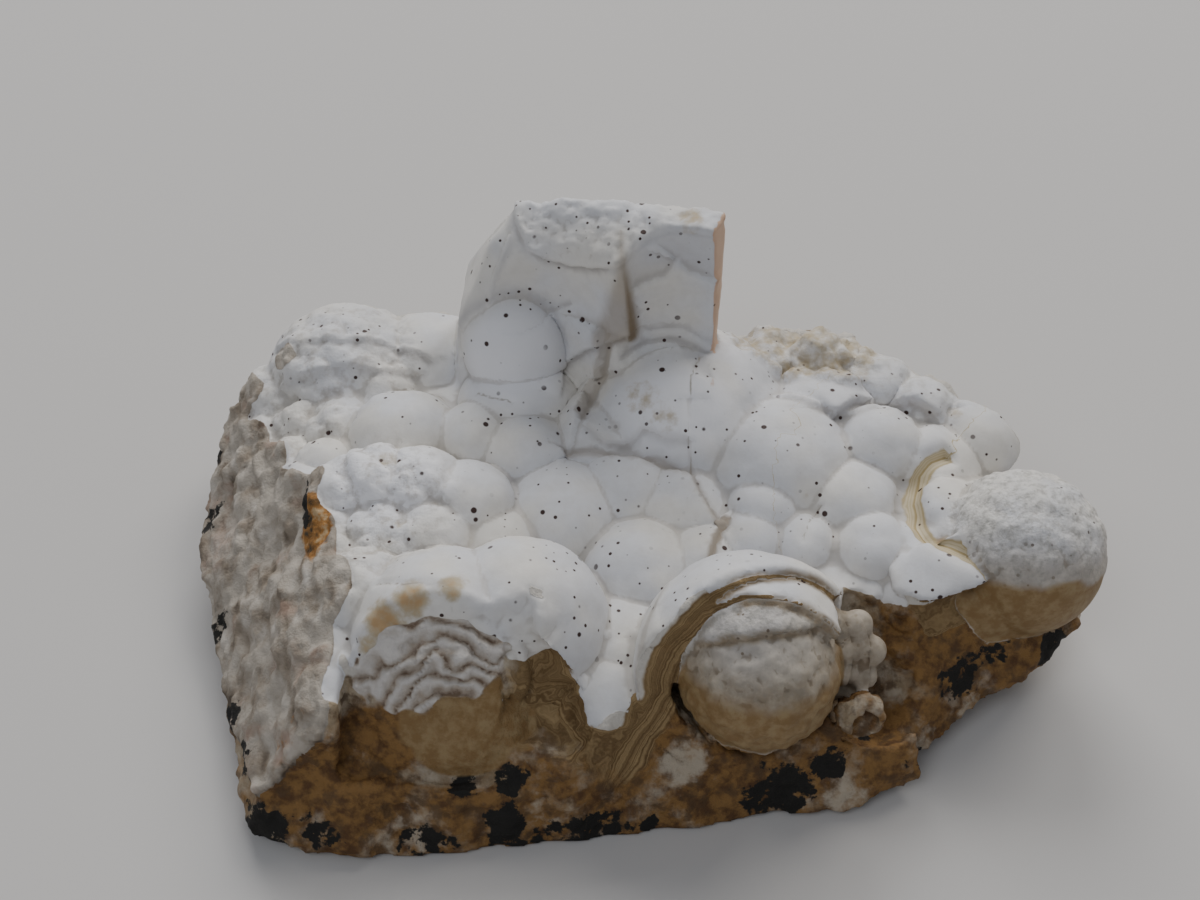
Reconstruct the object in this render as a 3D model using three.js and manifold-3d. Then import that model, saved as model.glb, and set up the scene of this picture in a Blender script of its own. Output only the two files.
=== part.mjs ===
// Cacholong specimen: a broken block of matrix under a botryoidal crust, grown together as one
// stone. Millimetres, +Z up. The origin is in the middle of the small flat facet that the stone
// rests on. The banded broken front faces -Y and the upright fin of crust stands at the back.
import * as THREE from "three";
import { ConvexGeometry } from "three/addons/geometries/ConvexGeometry.js";
import { ImprovedNoise } from "three/addons/math/ImprovedNoise.js";
import { mergeVertices } from "three/addons/utils/BufferGeometryUtils.js";
import Module from "manifold-3d";

const wasm = await Module();
wasm.setup();

// ---- Driving dimensions ----

// The matrix under the crust: the flat facet it rests on, the low corners around its underside and
// the corners of its top, then the higher steps that the left, back and front crust sit on.
const REST_FACET = [
  [-21, -15], [-15, -19.4], [-1, -18.2], [9, -15], [12, 2], [2, 11], [-16, 11], [-22, 0],
];
const UNDERSIDE = [
  [-25.2, -19.8, 0.9], [-16, -22, 0.3], [-1, -20.6, 0.3], [12, -18.6, 0.7],
  [20, -13.5, 2], [26.6, -9.4, 3.8], [28.2, -5, 4.6], [27.6, 1, 5.2], [24, 10.5, 4.6],
  [12, 17.5, 2.8], [-6, 20, 1.6], [-24, 20, 2.4], [-31.4, 13, 3.6], [-32, 3, 3.6], [-27.6, -11, 2],
];
const MATRIX_TOP = [
  [-24, -16, 7.4], [-3, -17.8, 6.9], [12, -15, 7.6], [22, -8.5, 8.4], [24, 6, 8.6],
  [8, 14.5, 9], [-12, 15.5, 9], [-28.4, 14, 8.4], [-30.6, 5, 6.4],
];
const LEFT_STEP = [
  [-21.4, -17.2, 10.2], [-21.4, -9, 12], [-22.8, -1, 12.8], [-24.6, 4, 10.8], [-15.6, -14.6, 8.6],
  [-12.4, -2, 11], [-9, 1, 9.6], [-11, -10, 8.2], [-25.4, -18.6, 4], [-29, 4, 5], [-9, 3, 5], [-10, -17, 4],
];
const BACK_STEP = [
  [-28, 12.6, 9], [-12, 17, 11.6], [8, 15.6, 12.4], [17, 10.6, 11.4], [22.6, 6, 10], [22.6, -3.5, 9.4],
  [13, -7.8, 9.6], [4, -6.5, 9.4], [-5, -6, 8.8], [-12, -1, 10.6], [-22, 4, 10.4],
  [-30, 12, 6.4], [-26, 19, 7.4], [-10, 19.6, 9.8], [9, 17.4, 9.6], [8, 17, 5], [24, 6, 5], [22, -6, 5],
  [-5, -10, 5], [-25, 2, 5],
];

const FRONT_STEP = [
  [-22.4, -14.5, 9.8], [-22, -18.2, 8.4], [-4.8, -18.4, 6.6], [-4.4, -13, 9.4], [-8, -9, 9],
  [-18, -9, 10], [-16.5, -16.2, 9.6], [-8.6, -16.2, 9.2], [-23, -9, 5], [-5, -9, 5],
];

// How much wider than high the domes of the crust are.
const SPREAD = 1.18;

// Domes of the crust, each [x, y, z of its centre, radius].
const BACK_DOMES = [
  [2.1, 8.5, 8.9, 6.7], [-9.4, 8.5, 10.8, 3.5], [-8.8, 4.1, 10.3, 2.8], [-12.2, 5.2, 10.8, 2.4],
  [-17, 5.6, 10.2, 3.3], [-3.6, 5.4, 9.6, 3.5],
];
const LEFT_DOMES = [
  [-21.8, 14.2, 8.5, 5], [-25.6, 12.4, 6.8, 3.7], [-24.4, 8.5, 8.9, 1.8], [-28.9, 10.6, 6.9, 1.9],
  [-21.4, 7.6, 9.2, 2.4], [-27.2, 8.2, 7, 2.3], [-15.6, 14.6, 8.8, 4.2], [-22.2, 3.4, 9.8, 1.9],
  [-25.2, 4.8, 8.4, 2], [-18.6, 10.8, 9.4, 2.6],
];
const RIDGE_DOMES = [
  [-20.3, -0.4, 11.3, 2.2], [-18.2, 0.1, 11.9, 2.2], [-15.4, -0.2, 11.4, 2.7], [-12.4, -1, 10.9, 2.7],
  [-14.4, -3.4, 10.3, 2.7], [-17.4, -3.6, 10, 2.8], [-18.6, -8.2, 9.9, 2.9], [-10.6, -3.4, 9.5, 2.5],
];
const BASIN_DOMES = [
  [-6.2, -0.4, 8.8, 3.5], [-2, 1.5, 8.9, 3.3], [1.7, 0.1, 8.5, 3.4], [-1, -4.8, 8.3, 3.3],
  [6, -2.8, 9.3, 2.2], [6.9, -0.8, 10.2, 2.1], [9.5, -3.3, 9.3, 2], [2.6, -4.4, 8, 3],
  [-2.4, -9.6, 6.4, 3.6], [-3.2, -12.6, 5.6, 3.4],
];
const RIGHT_DOMES = [
  [8.3, 3.7, 9.3, 4.8], [12.8, 0.1, 9.4, 3], [13.9, -3.8, 9.5, 2.3], [15, 4.4, 10.6, 2.8],
  [16.8, -3.9, 8.4, 3], [18.8, -0.9, 8.6, 3.3], [11.4, 8, 9.8, 3.6], [18.4, 3.6, 9.2, 3.2],
  [16.4, -6.6, 8, 2.4], [19.8, -4.8, 8, 2.5],
];
const BACK_RIGHT_LUMPS = [
  [22, 6.1, 9.9, 2.6], [11.7, 12.2, 11.8, 2.5], [8.2, 12.4, 11.2, 2.5], [15.2, 10.5, 10.8, 2.5],
  [18.6, 8.4, 10.2, 2.5],
];

// The two broken domes at the front, and the core that shows in the flaked one.
const PALE_DOME = { centre: [-8.6, -9.6, 9.2], radius: 5.4 };
const FLAKED_DOME = { centre: [-13.2, -10.9, 8.6], radius: 6.1 };
const FLAKED_CORE = { centre: [-12.2, -13.6, 5.4], radius: 4, stretch: [1.25, 1, 1] };

// The nest: its shell, the shell's inner layer, the ball in it with the cap that clings to the
// ball, and the gap around the ball. The breaks end the shell's outer layer, its inner layer and
// the cap.
const NEST_SHELL = { centre: [5.5, -13.2, 9.2], radius: 7.2 };
const NEST_LAYER = { centre: [5.8, -12.9, 9.9], radius: 5.7 };
const NEST_CAP = { centre: [6, -13, 10], radius: 5.08 };
const NEST_BALL = { centre: [5.9, -13.35, 9.55], radius: 4.85 };
const NEST_GAP = { centre: [5.75, -13.3, 8.9], radius: 5.2 };
const SHELL_BREAK = {
  at: [3.5, -12.4, 14.7], facing: [0.3, -0.9, 0.3], width: 17, height: 12, step: 4, rise: 0.25, seed: 8,
};
const LAYER_BREAK = {
  at: [6.6, -12.9, 15.5], facing: [-0.2, -0.95, 0.1], width: 16, height: 20, step: 4, rise: 0.3, seed: 9,
};
const CAP_BREAK = {
  at: [5.3, -13.9, 13.5], facing: [0.1, -0.66, -0.74], width: 16, height: 16, step: 4, rise: 0.3, seed: 10,
};

// Hollows beside the nest and under it, with a cluster of small nodules and a ring in them.
const NODULE_HOLLOW = { centre: [13.4, -13.2, 6.8], radius: 3.6, stretch: [1, 0.9, 1] };
const NODULE_LEDGE = { centre: [12.9, -12.2, 10.6], radius: 3.4, stretch: [1.25, 1, 0.95] };
const POCKET = { centre: [1, -18, 6], radius: 2.6, stretch: [1.3, 0.8, 0.7] };
const NODULES = [
  [10.3, -11.4, 11.4, 1], [11.9, -11.2, 11.1, 1], [11.3, -12.1, 10.1, 1.05], [11, -12.9, 8.8, 0.95],
  [12.8, -11.9, 9.5, 1], [12.4, -12.7, 8, 0.9], [11.2, -12.2, 6.8, 1.2],
];
const RING = { centre: [12.2, -14.8, 6.8], radius: 1.5, stretch: [1, 0.8, 1.25] };
const RING_BORE = { centre: [12.3, -15.7, 6.8], radius: 0.95, stretch: [1, 1, 1.25] };

// The right end: its ball, the cheek and the foot that the ball grew on, and the rim of crust that
// ends in a beak under the ball.
const RIGHT_BALL = { centre: [23.6, -3.6, 9.3], radius: 5, stretch: [1.05, 1.08, 1.04] };
const RIGHT_CHEEK = { centre: [20.8, -2.3, 7.6], radius: 5.3, stretch: [1.15, 1.1, 0.8] };
const RIGHT_FOOT = { centre: [21, -4.9, 7.6], radius: 3.7 };
const RIGHT_RIM = [
  [14.6, -8, 10.2], [16.8, -8.9, 10.4], [19.4, -8.4, 11], [21.7, -7.4, 11.5], [21, -5.9, 12.6],
  [20.2, -4.6, 12.8], [17, -4.2, 11.7], [15.2, -5.4, 11.2], [14.4, -7, 10.6], [16, -7, 8.2],
  [20.2, -6.6, 9.4], [18, -4.6, 7],
];

// The fin: corners of the slab, the two tall hollows that leave a cusp on its front, the wedge on
// the cusp, and the lobe under its collar.
const FIN = [
  [3.6, 7.6, 8], [3.4, 8.6, 25.3], [-2.4, 7.6, 22.8], [-9.4, 8.8, 20], [-13.3, 10.4, 16.8],
  [-13.6, 10, 8], [4.4, 12.8, 8], [4.5, 11.1, 25.5], [-5.7, 13.2, 25.4], [-9, 13.8, 24.4],
  [-10.9, 12, 22.7], [-12.8, 15.8, 18], [-14.2, 17, 8],
];
const FIN_HOLLOWS = [
  { centre: [1.2, 3.8, 20], radius: 6, stretch: [1, 1, 2.4] },
  { centre: [-8.2, 3, 20], radius: 7.8, stretch: [1, 1, 2] },
];
const FIN_WEDGE = [
  [-2.3, 8.3, 24], [-3.7, 9.8, 18], [-1.7, 7.9, 16.6], [-0.9, 9.6, 16.2], [-2.3, 10.5, 24],
];
const FIN_LOBE = { centre: [-9.7, 10.9, 14.6], radius: 3.5, stretch: [1, 1, 1.2] };
const FIN_COLLAR = { ...FIN_LOBE, radius: 3.75 };

// Broken faces: a point on each, the way it faces, its width and height, and its relief: the step
// between its points, how much it rises, how far its middle bulges and its seed.
const BREAKS = {
  front: { at: [-4, -17.3, 5.3], facing: [0.107, -0.927, 0.358], width: 46, height: 26, seed: 1 },
  left: { at: [-27.2, -2, 6.6], facing: [-0.715, -0.203, 0.669], width: 38, height: 22, seed: 2 },
  rightFront: { at: [21.2, -9.1, 5.2], facing: [0.41, -0.775, 0.483], width: 14.4, height: 16, seed: 3 },
  back: { at: [-5, 17.2, 6], facing: [0.12, 0.97, 0.2], width: 50, height: 20, seed: 4 },
  backRight: { at: [19, 11.3, 7], facing: [0.62, 0.76, 0.18], width: 30, height: 20, seed: 5 },
  flaked: {
    at: [-13.3, -13.7, 10.5], facing: [-0.06, -0.84, 0.54], width: 11.6, height: 15, rise: 0.5, bulge: 1,
    seed: 6,
  },
};

// What is broken off the pale dome, down to the bands under its crust.
const BAND_CUT = [
  [-7.6, -13, 12.6], [-4.1, -15.8, 7.3], [-9.6, -13, 12.8], [-9.6, -15.8, 6.5], [-4.1, -21, 7.3],
  [-7.6, -21, 12.6], [-9.6, -21, 12.8], [-9.6, -21, 6.5], [-5.2, -16.4, 5.6], [-5.2, -21, 5.6],
  [-6.4, -13.6, 11.6], [-5.5, -13.7, 10.2], [-4.9, -13.4, 8.4], [-6.4, -21, 11.6], [-5.5, -21, 10.2],
  [-4.9, -21, 8.4],
];

// What is broken off under the edge of the crust, between the nest and the right end.
const SHEET_CUT = [
  [11.6, -6.7, 12.8], [13.6, -7.3, 12.8], [16.9, -9.2, 12.8], [11.6, -7.1, 8.5], [13.6, -7.7, 8.3],
  [16.9, -9.6, 8.1], [11.6, -14, 12.8], [16.9, -14, 12.8], [11.6, -14, 6], [16.9, -14, 5.6],
];

// ---- Solids and how they are joined ----

const rough = new ImprovedNoise();

function solid(geometry) {
  for (const name of ["normal", "uv"]) geometry.deleteAttribute(name);
  const merged = mergeVertices(geometry, 1e-4);
  return new wasm.Manifold(new wasm.Mesh({
    numProp: 3,
    vertProperties: new Float32Array(merged.attributes.position.array),
    triVerts: new Uint32Array(merged.index.array),
  }));
}

function join(solids) {
  return solids.reduce((all, one) => all.add(one));
}

function hull(points) {
  return solid(new ConvexGeometry(points.map((p) => new THREE.Vector3(...p))));
}

function ballDetail(radius) {
  if (radius < 2.95) return 1;
  if (radius < 3.9) return 2;
  return radius < 6.15 ? 3 : 4;
}

function ball({ centre, radius, stretch = [1, 1, 1] }) {
  const geometry = new THREE.IcosahedronGeometry(radius, ballDetail(radius));
  geometry.scale(...stretch).translate(...centre);
  return solid(geometry);
}

function balls(list) {
  return join(list.map(([x, y, z, radius]) => ball({ centre: [x, y, z], radius })));
}

function domes(list) {
  const stretch = [SPREAD, SPREAD, 1];
  return join(list.map(([x, y, z, radius]) => ball({ centre: [x, y, z], radius, stretch })));
}

// Rough relief of a broken face, at a place on it.
function relief(u, v, { width, height, rise = 0.8, bulge = 0, seed }) {
  const middle = Math.max(0, 1 - (2 * u / width) ** 2 - (2 * v / height) ** 2);
  const broad = rough.noise(u / 6, v / 6, seed);
  return rise * (broad + 0.5 * rough.noise(u / 2.6, v / 2.6, seed + 7)) + bulge * middle;
}

// A slab that takes away what stands in front of a break: its inner face is the broken surface.
function breakAway(face) {
  const { at, facing, width, height, depth = 14, step = 3 } = face;
  const normal = new THREE.Vector3(...facing).normalize();
  const along = new THREE.Vector3(0, 0, 1).cross(normal).normalize();
  const up = normal.clone().cross(along);
  const geometry = new THREE.BoxGeometry(
    width, height, depth, Math.round(width / step), Math.round(height / step), 1,
  );
  geometry.translate(0, 0, depth / 2);
  const place = geometry.attributes.position;
  for (let i = 0; i < place.count; i++) {
    if (place.getZ(i) < depth / 2)
      place.setZ(i, relief(place.getX(i), place.getY(i), face));
  }
  geometry.applyMatrix4(new THREE.Matrix4().makeBasis(along, up, normal).setPosition(...at));
  return solid(geometry);
}

// The outer skin alone: hollows that the domes close off between them are filled.
function filled(body) {
  return body.decompose().reduce((most, one) => (one.volume() > most.volume() ? one : most));
}

// ---- The stone ----

function matrixBlock() {
  const block = hull([...UNDERSIDE, ...REST_FACET.map(([x, y]) => [x, y, 0]), ...MATRIX_TOP]);
  return join([block, hull(LEFT_STEP), hull(BACK_STEP), hull(FRONT_STEP)]);
}

function crust() {
  return join([
    domes([...BACK_DOMES, ...LEFT_DOMES, ...RIDGE_DOMES, ...BASIN_DOMES]),
    domes([...RIGHT_DOMES, ...BACK_RIGHT_LUMPS]),
    ball(PALE_DOME),
    ball(FLAKED_DOME),
    ball(NEST_SHELL),
  ]);
}

function fin() {
  const slab = hull(FIN).subtract(join(FIN_HOLLOWS.map(ball)));
  return slab.add(hull(FIN_WEDGE)).subtract(ball(FIN_COLLAR)).add(ball(FIN_LOBE));
}

function broken(body) {
  const left = Object.values(BREAKS).reduce((rest, face) => rest.subtract(breakAway(face)), body);
  const shell = breakAway(SHELL_BREAK).subtract(ball(NEST_LAYER));
  return left.subtract(hull(BAND_CUT)).subtract(hull(SHEET_CUT)).subtract(shell);
}

function nest() {
  const beside = ball(NODULE_HOLLOW).add(ball(NODULE_LEDGE));
  const layer = ball(NEST_LAYER).subtract(breakAway(LAYER_BREAK)).subtract(beside);
  const cap = ball(NEST_CAP).subtract(breakAway(CAP_BREAK)).subtract(beside);
  return join([layer, cap, ball(NEST_BALL), ball(RING).subtract(ball(RING_BORE)), balls(NODULES)]);
}

const rock = broken(matrixBlock().add(crust()).add(fin())).add(hull(RIGHT_RIM));
const hollows = join([NEST_GAP, NODULE_HOLLOW, NODULE_LEDGE, POCKET].map(ball));
const grown = join([FLAKED_CORE, RIGHT_BALL, RIGHT_CHEEK, RIGHT_FOOT].map(ball));
const stone = filled(join([rock.subtract(hollows), nest(), grown]));

const cacholong = new THREE.MeshStandardMaterial({ color: 0xdcdde0, roughness: 0.55, metalness: 0 });

function meshOf(name, body, material) {
  const { numProp, vertProperties, triVerts } = body.getMesh();
  const geometry = new THREE.BufferGeometry();
  const stored = new THREE.InterleavedBuffer(vertProperties, numProp);
  geometry.setAttribute("position", new THREE.InterleavedBufferAttribute(stored, 3, 0));
  geometry.setIndex(new THREE.BufferAttribute(triVerts, 1));
  const mesh = new THREE.Mesh(geometry, material);
  mesh.name = name;
  return mesh;
}

const specimen = new THREE.Group();
specimen.add(meshOf("cacholong_specimen", stone, cacholong));

export default specimen;
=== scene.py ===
"""Cacholong specimen: a broken hand specimen of matrix under a white botryoidal crust.

The stone is one piece. Its form is worked out in millimetres, in the frame of the solid that it
stands for: balls and blocks are joined, the breaks are cut and the whole gets one even skin. Then
each vertex is moved by the relief of the surface that it lies on. The fields that move the vertices
are kept on the mesh as attributes, and the finish reads them.
"""

import logging
from dataclasses import dataclass, field
from enum import Enum
from math import radians
from typing import Any

import bmesh
import bpy
import numpy as np
from mathutils import Matrix, Vector, noise


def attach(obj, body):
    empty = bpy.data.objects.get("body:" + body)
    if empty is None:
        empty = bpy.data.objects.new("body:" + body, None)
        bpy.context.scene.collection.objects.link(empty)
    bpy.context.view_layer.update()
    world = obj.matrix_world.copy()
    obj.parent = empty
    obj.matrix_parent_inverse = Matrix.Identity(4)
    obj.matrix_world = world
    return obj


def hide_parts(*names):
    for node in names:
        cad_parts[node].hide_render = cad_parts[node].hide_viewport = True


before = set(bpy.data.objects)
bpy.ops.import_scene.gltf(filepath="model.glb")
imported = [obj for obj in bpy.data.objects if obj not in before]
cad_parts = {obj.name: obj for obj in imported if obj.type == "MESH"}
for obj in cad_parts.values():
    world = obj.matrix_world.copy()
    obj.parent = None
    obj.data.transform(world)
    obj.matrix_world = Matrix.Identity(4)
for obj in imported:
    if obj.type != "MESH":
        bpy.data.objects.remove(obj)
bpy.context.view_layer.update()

NODE = "cacholong_specimen"
SLOT = "cacholong"
MM = 0.001  # a millimetre in metres
VOXEL = 0.22  # the grid of the even skin, in millimetres
MOST_TRIANGLES = 196000
BALL_DIVISIONS = 5
BREAK_STEP = 0.45  # the grid of a broken face, in millimetres
FAR = 9.0  # the distance that stands for out of reach
IN_REACH = 8.9  # below it a line is in reach
LOOKS_UP = 0.5  # the upward share of a normal from which a face looks up
GRAIN_SEEDS = 11.7  # how far apart in the noise the seeds are
KNOB_SEEDS = 7.3
FOOT = 0.16  # how far the foot of a step is from its line, in millimetres
FROM_ABOVE = (0, 1, 2)
FROM_FRONT = (0, 2, 1)
ROUND = (1.0, 1.0, 1.0)
Point = tuple[float, float, float]
Rows = tuple[tuple[float, ...], ...]
Span = tuple[float, float]  # where a soft step starts and ends
Values = np.ndarray
Edge = tuple[tuple[float, ...], tuple[float, ...]]
Stops = tuple[tuple[float, Point], ...]
log = logging.getLogger("cacholong")


class Mark(Enum):
    """A field kept on the mesh for the finish to read, in millimetres or from 0 to 1."""

    SKIN = "skin"
    BROKEN = "broken"
    BALL = "ball"
    TAN = "tan"
    FLAKE = "flake"
    KNOBBLY = "knobbly"
    CREASE = "crease"
    CRACK = "crack"
    EDGE = "edge"
    STAIN = "stain"
    BANDED = "banded"
    OCHRE = "ochre"
    SOOT = "soot"
    # pale patches of the matrix, and painted highlights on the crust
    PALE_AND_HIGHLIGHT = "pale"
    STREAK = "streak"
    BEIGE = "beige"
    GROOVE = "groove"
    LAYERS = "layers"
    SHADE = "shade"
    SLIVER = "sliver"


# ---------------------------------------------------------------- fields over the surface


def smooth(low: float, high: float, values: Values) -> Values:
    """Gives a soft step from 0 at low to 1 at high.

    Args:
        low: where the step starts.
        high: where it ends; less than low for a step down.
        values: what it is taken of.

    Returns:
        The steps, from 0 to 1.
    """
    t = np.clip((values - low) / (high - low), 0, 1)
    return t * t * (3 - 2 * t)


def grain(points: Values, size: Any, seed: float, octaves: int = 1) -> Values:
    """Gives smooth noise.

    Args:
        points: the places.
        size: the size of its grains in millimetres, one or one for each axis.
        seed: which noise it is.
        octaves: how many sizes of grain it has.

    Returns:
        Values from about -1 to 1.
    """
    places = points / np.array(size) + seed * GRAIN_SEEDS
    return np.array([noise.fractal(place, 1.0, 2.0, octaves) for place in places.tolist()])


def knobs(points: Values, size: float, seed: float) -> Values:
    """Gives round knobs with creases between them.

    Args:
        points: the places.
        size: the knobs' size in millimetres.
        seed: which knobs they are.

    Returns:
        Values from 0 in a crease to about 1 on a knob.
    """
    places = points / size + seed * KNOB_SEEDS
    near = np.array([noise.voronoi(place)[0][0] for place in places.tolist()])
    return np.clip(1 - near * near * 1.3, 0, 1)


def saw(values: Values, sharp: float = 0.82) -> Values:
    """Gives teeth that rise slowly and drop at once, one to each whole number."""
    t = values - np.floor(values)
    return np.where(t < sharp, t / sharp, (1 - t) / (1 - sharp))


def bell(values: Values, width: float) -> Values:
    """Gives 1 where values are 0, and less to 0 over a few widths on both sides."""
    return np.exp(-((values / width) ** 2))


def most(*values: Values) -> Values:
    """Gives the greatest of several values at each place."""
    return np.max(values, axis=0)


def least(*values: Values) -> Values:
    """Gives the smallest of several values at each place."""
    return np.min(values, axis=0)


@dataclass(frozen=True)
class Spot:
    """A round place with a soft edge: its middle, its radius and how wide the edge is."""

    middle: Point
    radius: float
    edge: float

    def over(self, points: Values) -> Values:
        """Gives 1 in the spot, and less to 0 over its edge."""
        away = np.linalg.norm(points - np.array(self.middle), axis=1)
        return smooth(self.radius + self.edge, self.radius, away)


# ---------------------------------------------------------------- bodies


@dataclass(frozen=True)
class Ball:
    """A ball or, when stretched, an egg."""

    centre: Point
    radius: float
    stretch: Point = ROUND

    def add_to(self, bm: bmesh.types.BMesh) -> None:
        """Makes the ball in a mesh.

        Args:
            bm: the mesh that it is added to.
        """
        size = Matrix.Diagonal((*(self.radius * share for share in self.stretch), 1.0))
        place = Matrix.Translation(self.centre) @ size
        bmesh.ops.create_icosphere(bm, subdivisions=BALL_DIVISIONS, radius=1.0, matrix=place)

    def away(self, points: Values) -> Values:
        """Gives places as seen from the ball's middle, with its stretch taken out."""
        return (points - np.array(self.centre)) / np.array(self.stretch)

    def outside(self, points: Values) -> Values:
        """Gives how far places are outside the ball, and less than 0 inside it."""
        return np.linalg.norm(self.away(points), axis=1) - self.radius

    def touched(self, points: Values, far: float = 0.4, near: float = 0.1) -> Values:
        """Gives 1 for places nearer to the ball's skin than near, and less to 0 at far."""
        return smooth(far, near, np.abs(self.outside(points)))

    def settled(self, points: Values) -> Values:
        """Gives places moved along the ball's radii onto its skin.

        Args:
            points: the places.

        Returns:
            Where they are then.
        """
        away = self.away(points)
        away *= self.radius / np.maximum(np.linalg.norm(away, axis=1), 0.01)[:, None]
        return np.array(self.centre) + away * np.array(self.stretch)

    def depth(self, points: Values) -> Values:
        """Gives how deep places are under the ball's skin, growing on below the ball.

        Args:
            points: the places.

        Returns:
            The depths, 0 on the skin and less outside it.
        """
        away = self.away(points)
        below = np.clip(-away[:, 2], 0, None)
        away[:, 2] = np.clip(away[:, 2], 0, None)
        return self.radius + 0.8 * below - np.linalg.norm(away, axis=1)


def balls(rows: Rows, stretch: Point = ROUND) -> list[Ball]:
    """Makes balls from rows of a place and a radius."""
    return [Ball((x, y, z), radius, stretch) for x, y, z, radius in rows]


@dataclass(frozen=True)
class Block:
    """The convex block around a few corners."""

    corners: Rows

    def add_to(self, bm: bmesh.types.BMesh) -> None:
        """Makes the block in a mesh.

        Args:
            bm: the mesh that it is added to.
        """
        loose = [bm.verts.new(corner) for corner in self.corners]
        made = bmesh.ops.convex_hull(bm, input=loose)
        spare = {v for v in made["geom_interior"] if isinstance(v, bmesh.types.BMVert)}
        bmesh.ops.delete(bm, geom=list(spare), context="VERTS")

    def depth(self, points: Values) -> Values:
        """Gives how deep places are under the faces that look up.

        Args:
            points: the places.

        Returns:
            The depths, less than 0 above them, and far out of it beside the block.
        """
        bm = bmesh.new()
        self.add_to(bm)
        bmesh.ops.recalc_face_normals(bm, faces=bm.faces)
        faces = [(np.array(face.calc_center_median()), np.array(face.normal)) for face in bm.faces]
        bm.free()
        under = least(*((at - points) @ out for at, out in faces if out[2] > LOOKS_UP))
        beside = most(*((points - at) @ out for at, out in faces if abs(out[2]) <= LOOKS_UP))
        return np.where(beside > 0.6, -FAR, under)


@dataclass(frozen=True)
class Break:
    """A broken face: a point on it, the way it faces, its size, and how rough and hollow it is."""

    at: Point
    facing: Point
    width: float
    height: float
    seed: int
    rise: float = 0.8
    dish: float = 0.0
    depth: float = 14.0

    def axes(self) -> tuple[Vector, Vector, Vector]:
        """Gives the directions along the face, up it and out of it.

        Returns:
            The three unit vectors.
        """
        out = Vector(self.facing).normalized()
        along = Vector((0, 0, 1)).cross(out).normalized()
        return along, out.cross(along), out

    def relief(self, u: float, v: float) -> float:
        """Gives how far the face stands out at a place on it.

        Args:
            u: how far along the face the place is.
            v: how far up it.

        Returns:
            The height, in millimetres.
        """
        broad = noise.noise(Vector((u / 6, v / 6, self.seed)))
        fine = 0.5 * noise.noise(Vector((u / 2.6, v / 2.6, self.seed + 7)))
        bowl = max(0.0, 1 - (2 * u / self.width) ** 2 - (2 * v / self.height) ** 2)
        return self.rise * (broad + fine) - self.dish * bowl

    def add_to(self, bm: bmesh.types.BMesh) -> None:
        """Makes the slab of what broke away, with the broken face as its back.

        Args:
            bm: the mesh that it is added to.
        """
        made = bmesh.ops.create_grid(
            bm, x_segments=round(self.width / BREAK_STEP), y_segments=round(self.height / BREAK_STEP),
            size=0.5, matrix=Matrix.Diagonal((self.width, self.height, 1, 1)),
        )
        for vert in made["verts"]:
            vert.co.z = self.relief(vert.co.x, vert.co.y)
        faces = list({f for v in made["verts"] for f in v.link_faces})
        grown = bmesh.ops.extrude_face_region(bm, geom=faces, use_keep_orig=True)
        top = [v for v in grown["geom"] if isinstance(v, bmesh.types.BMVert)]
        for vert in top:
            vert.co.z = self.depth
        place = Matrix(self.axes()).transposed().to_4x4()
        place.translation = self.at
        bmesh.ops.transform(bm, matrix=place, verts=[*made["verts"], *top])
        bmesh.ops.recalc_face_normals(bm, faces=bm.faces)

    def behind(self, points: Values) -> Values:
        """Gives how far places are behind the broken face.

        Args:
            points: the places.

        Returns:
            The distances, and out of reach beside the face.
        """
        u, v, out = ((points - np.array(self.at)) @ np.array(self.axes()).T).T
        rise = np.array([self.relief(*place) for place in zip(u.tolist(), v.tolist())])
        beside = (abs(u) > self.width / 2 + 0.2) | (abs(v) > self.height / 2 + 0.2)
        return np.where(beside, FAR, np.abs(rise - out))


@dataclass(frozen=True)
class Line:
    """A line over the surface, with the ground on its left raised.

    Its path is on the first two axes, and it is there from low to high on the third.
    """

    path: Rows
    low: float
    high: float
    rise: float = 0.0
    fade: float = 1.6
    brown: float = 0.0
    axes: tuple[int, int, int] = FROM_ABOVE

    def across(self, points: Values) -> Values:
        """Gives how far places are from the line, more than 0 on its left.

        Args:
            points: the places.

        Returns:
            The distances, which grow fast past the line's ends, and out of reach off its stretch.
        """
        flat = points[:, self.axes[:2]]
        best = np.full(len(points), FAR)
        for start, end in zip(self.path, self.path[1:]):
            run = np.array(end) - np.array(start)
            away = flat - np.array(start)
            along = away @ run / (run @ run)
            before = -along * (start == self.path[0])
            after = (along - 1) * (end == self.path[-1])
            past = np.maximum(before, after).clip(0) * np.sqrt(run @ run)
            nearest = np.clip(along, 0, 1)[:, None] * run
            gap = np.linalg.norm(away - nearest, axis=1) + 3 * past
            side = np.where(run[0] * away[:, 1] - run[1] * away[:, 0] < 0, -1.0, 1.0)
            best = np.where(gap < np.abs(best), gap * side, best)
        third = points[:, self.axes[2]]
        return np.where((third < self.low) | (third > self.high), FAR, best)

    def foot(self, points: Values, width: float) -> Values:
        """Gives how close places are to the foot of the line's step, from 0 to 1."""
        return bell(self.across(points) + FOOT, width)


@dataclass(frozen=True)
class Patch:
    """A patch of colour: its middle, how far it reaches and how strong it is."""

    at: Point
    reach: float
    strength: float = 1.0
    stretch: Point = ROUND

    def over(self, points: Values) -> Values:
        """Gives how strong the patch is at places: in full up to half its reach, and less beyond."""
        away = (points - np.array(self.at)) / np.array(self.stretch)
        return self.strength * np.clip(1.5 - np.linalg.norm(away, axis=1) / self.reach, 0, 1)


def patched(rows: tuple, points: Values) -> Values:
    """Gives how strong the strongest of a few patches is at places.

    Args:
        rows: each patch's place, reach and, where it isn't plain, strength and stretch.
        points: the places.

    Returns:
        The strengths.
    """
    return most(*(Patch((x, y, z), *rest).over(points) for x, y, z, *rest in rows))


# ---------------------------------------------------------------- mesh steps


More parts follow.
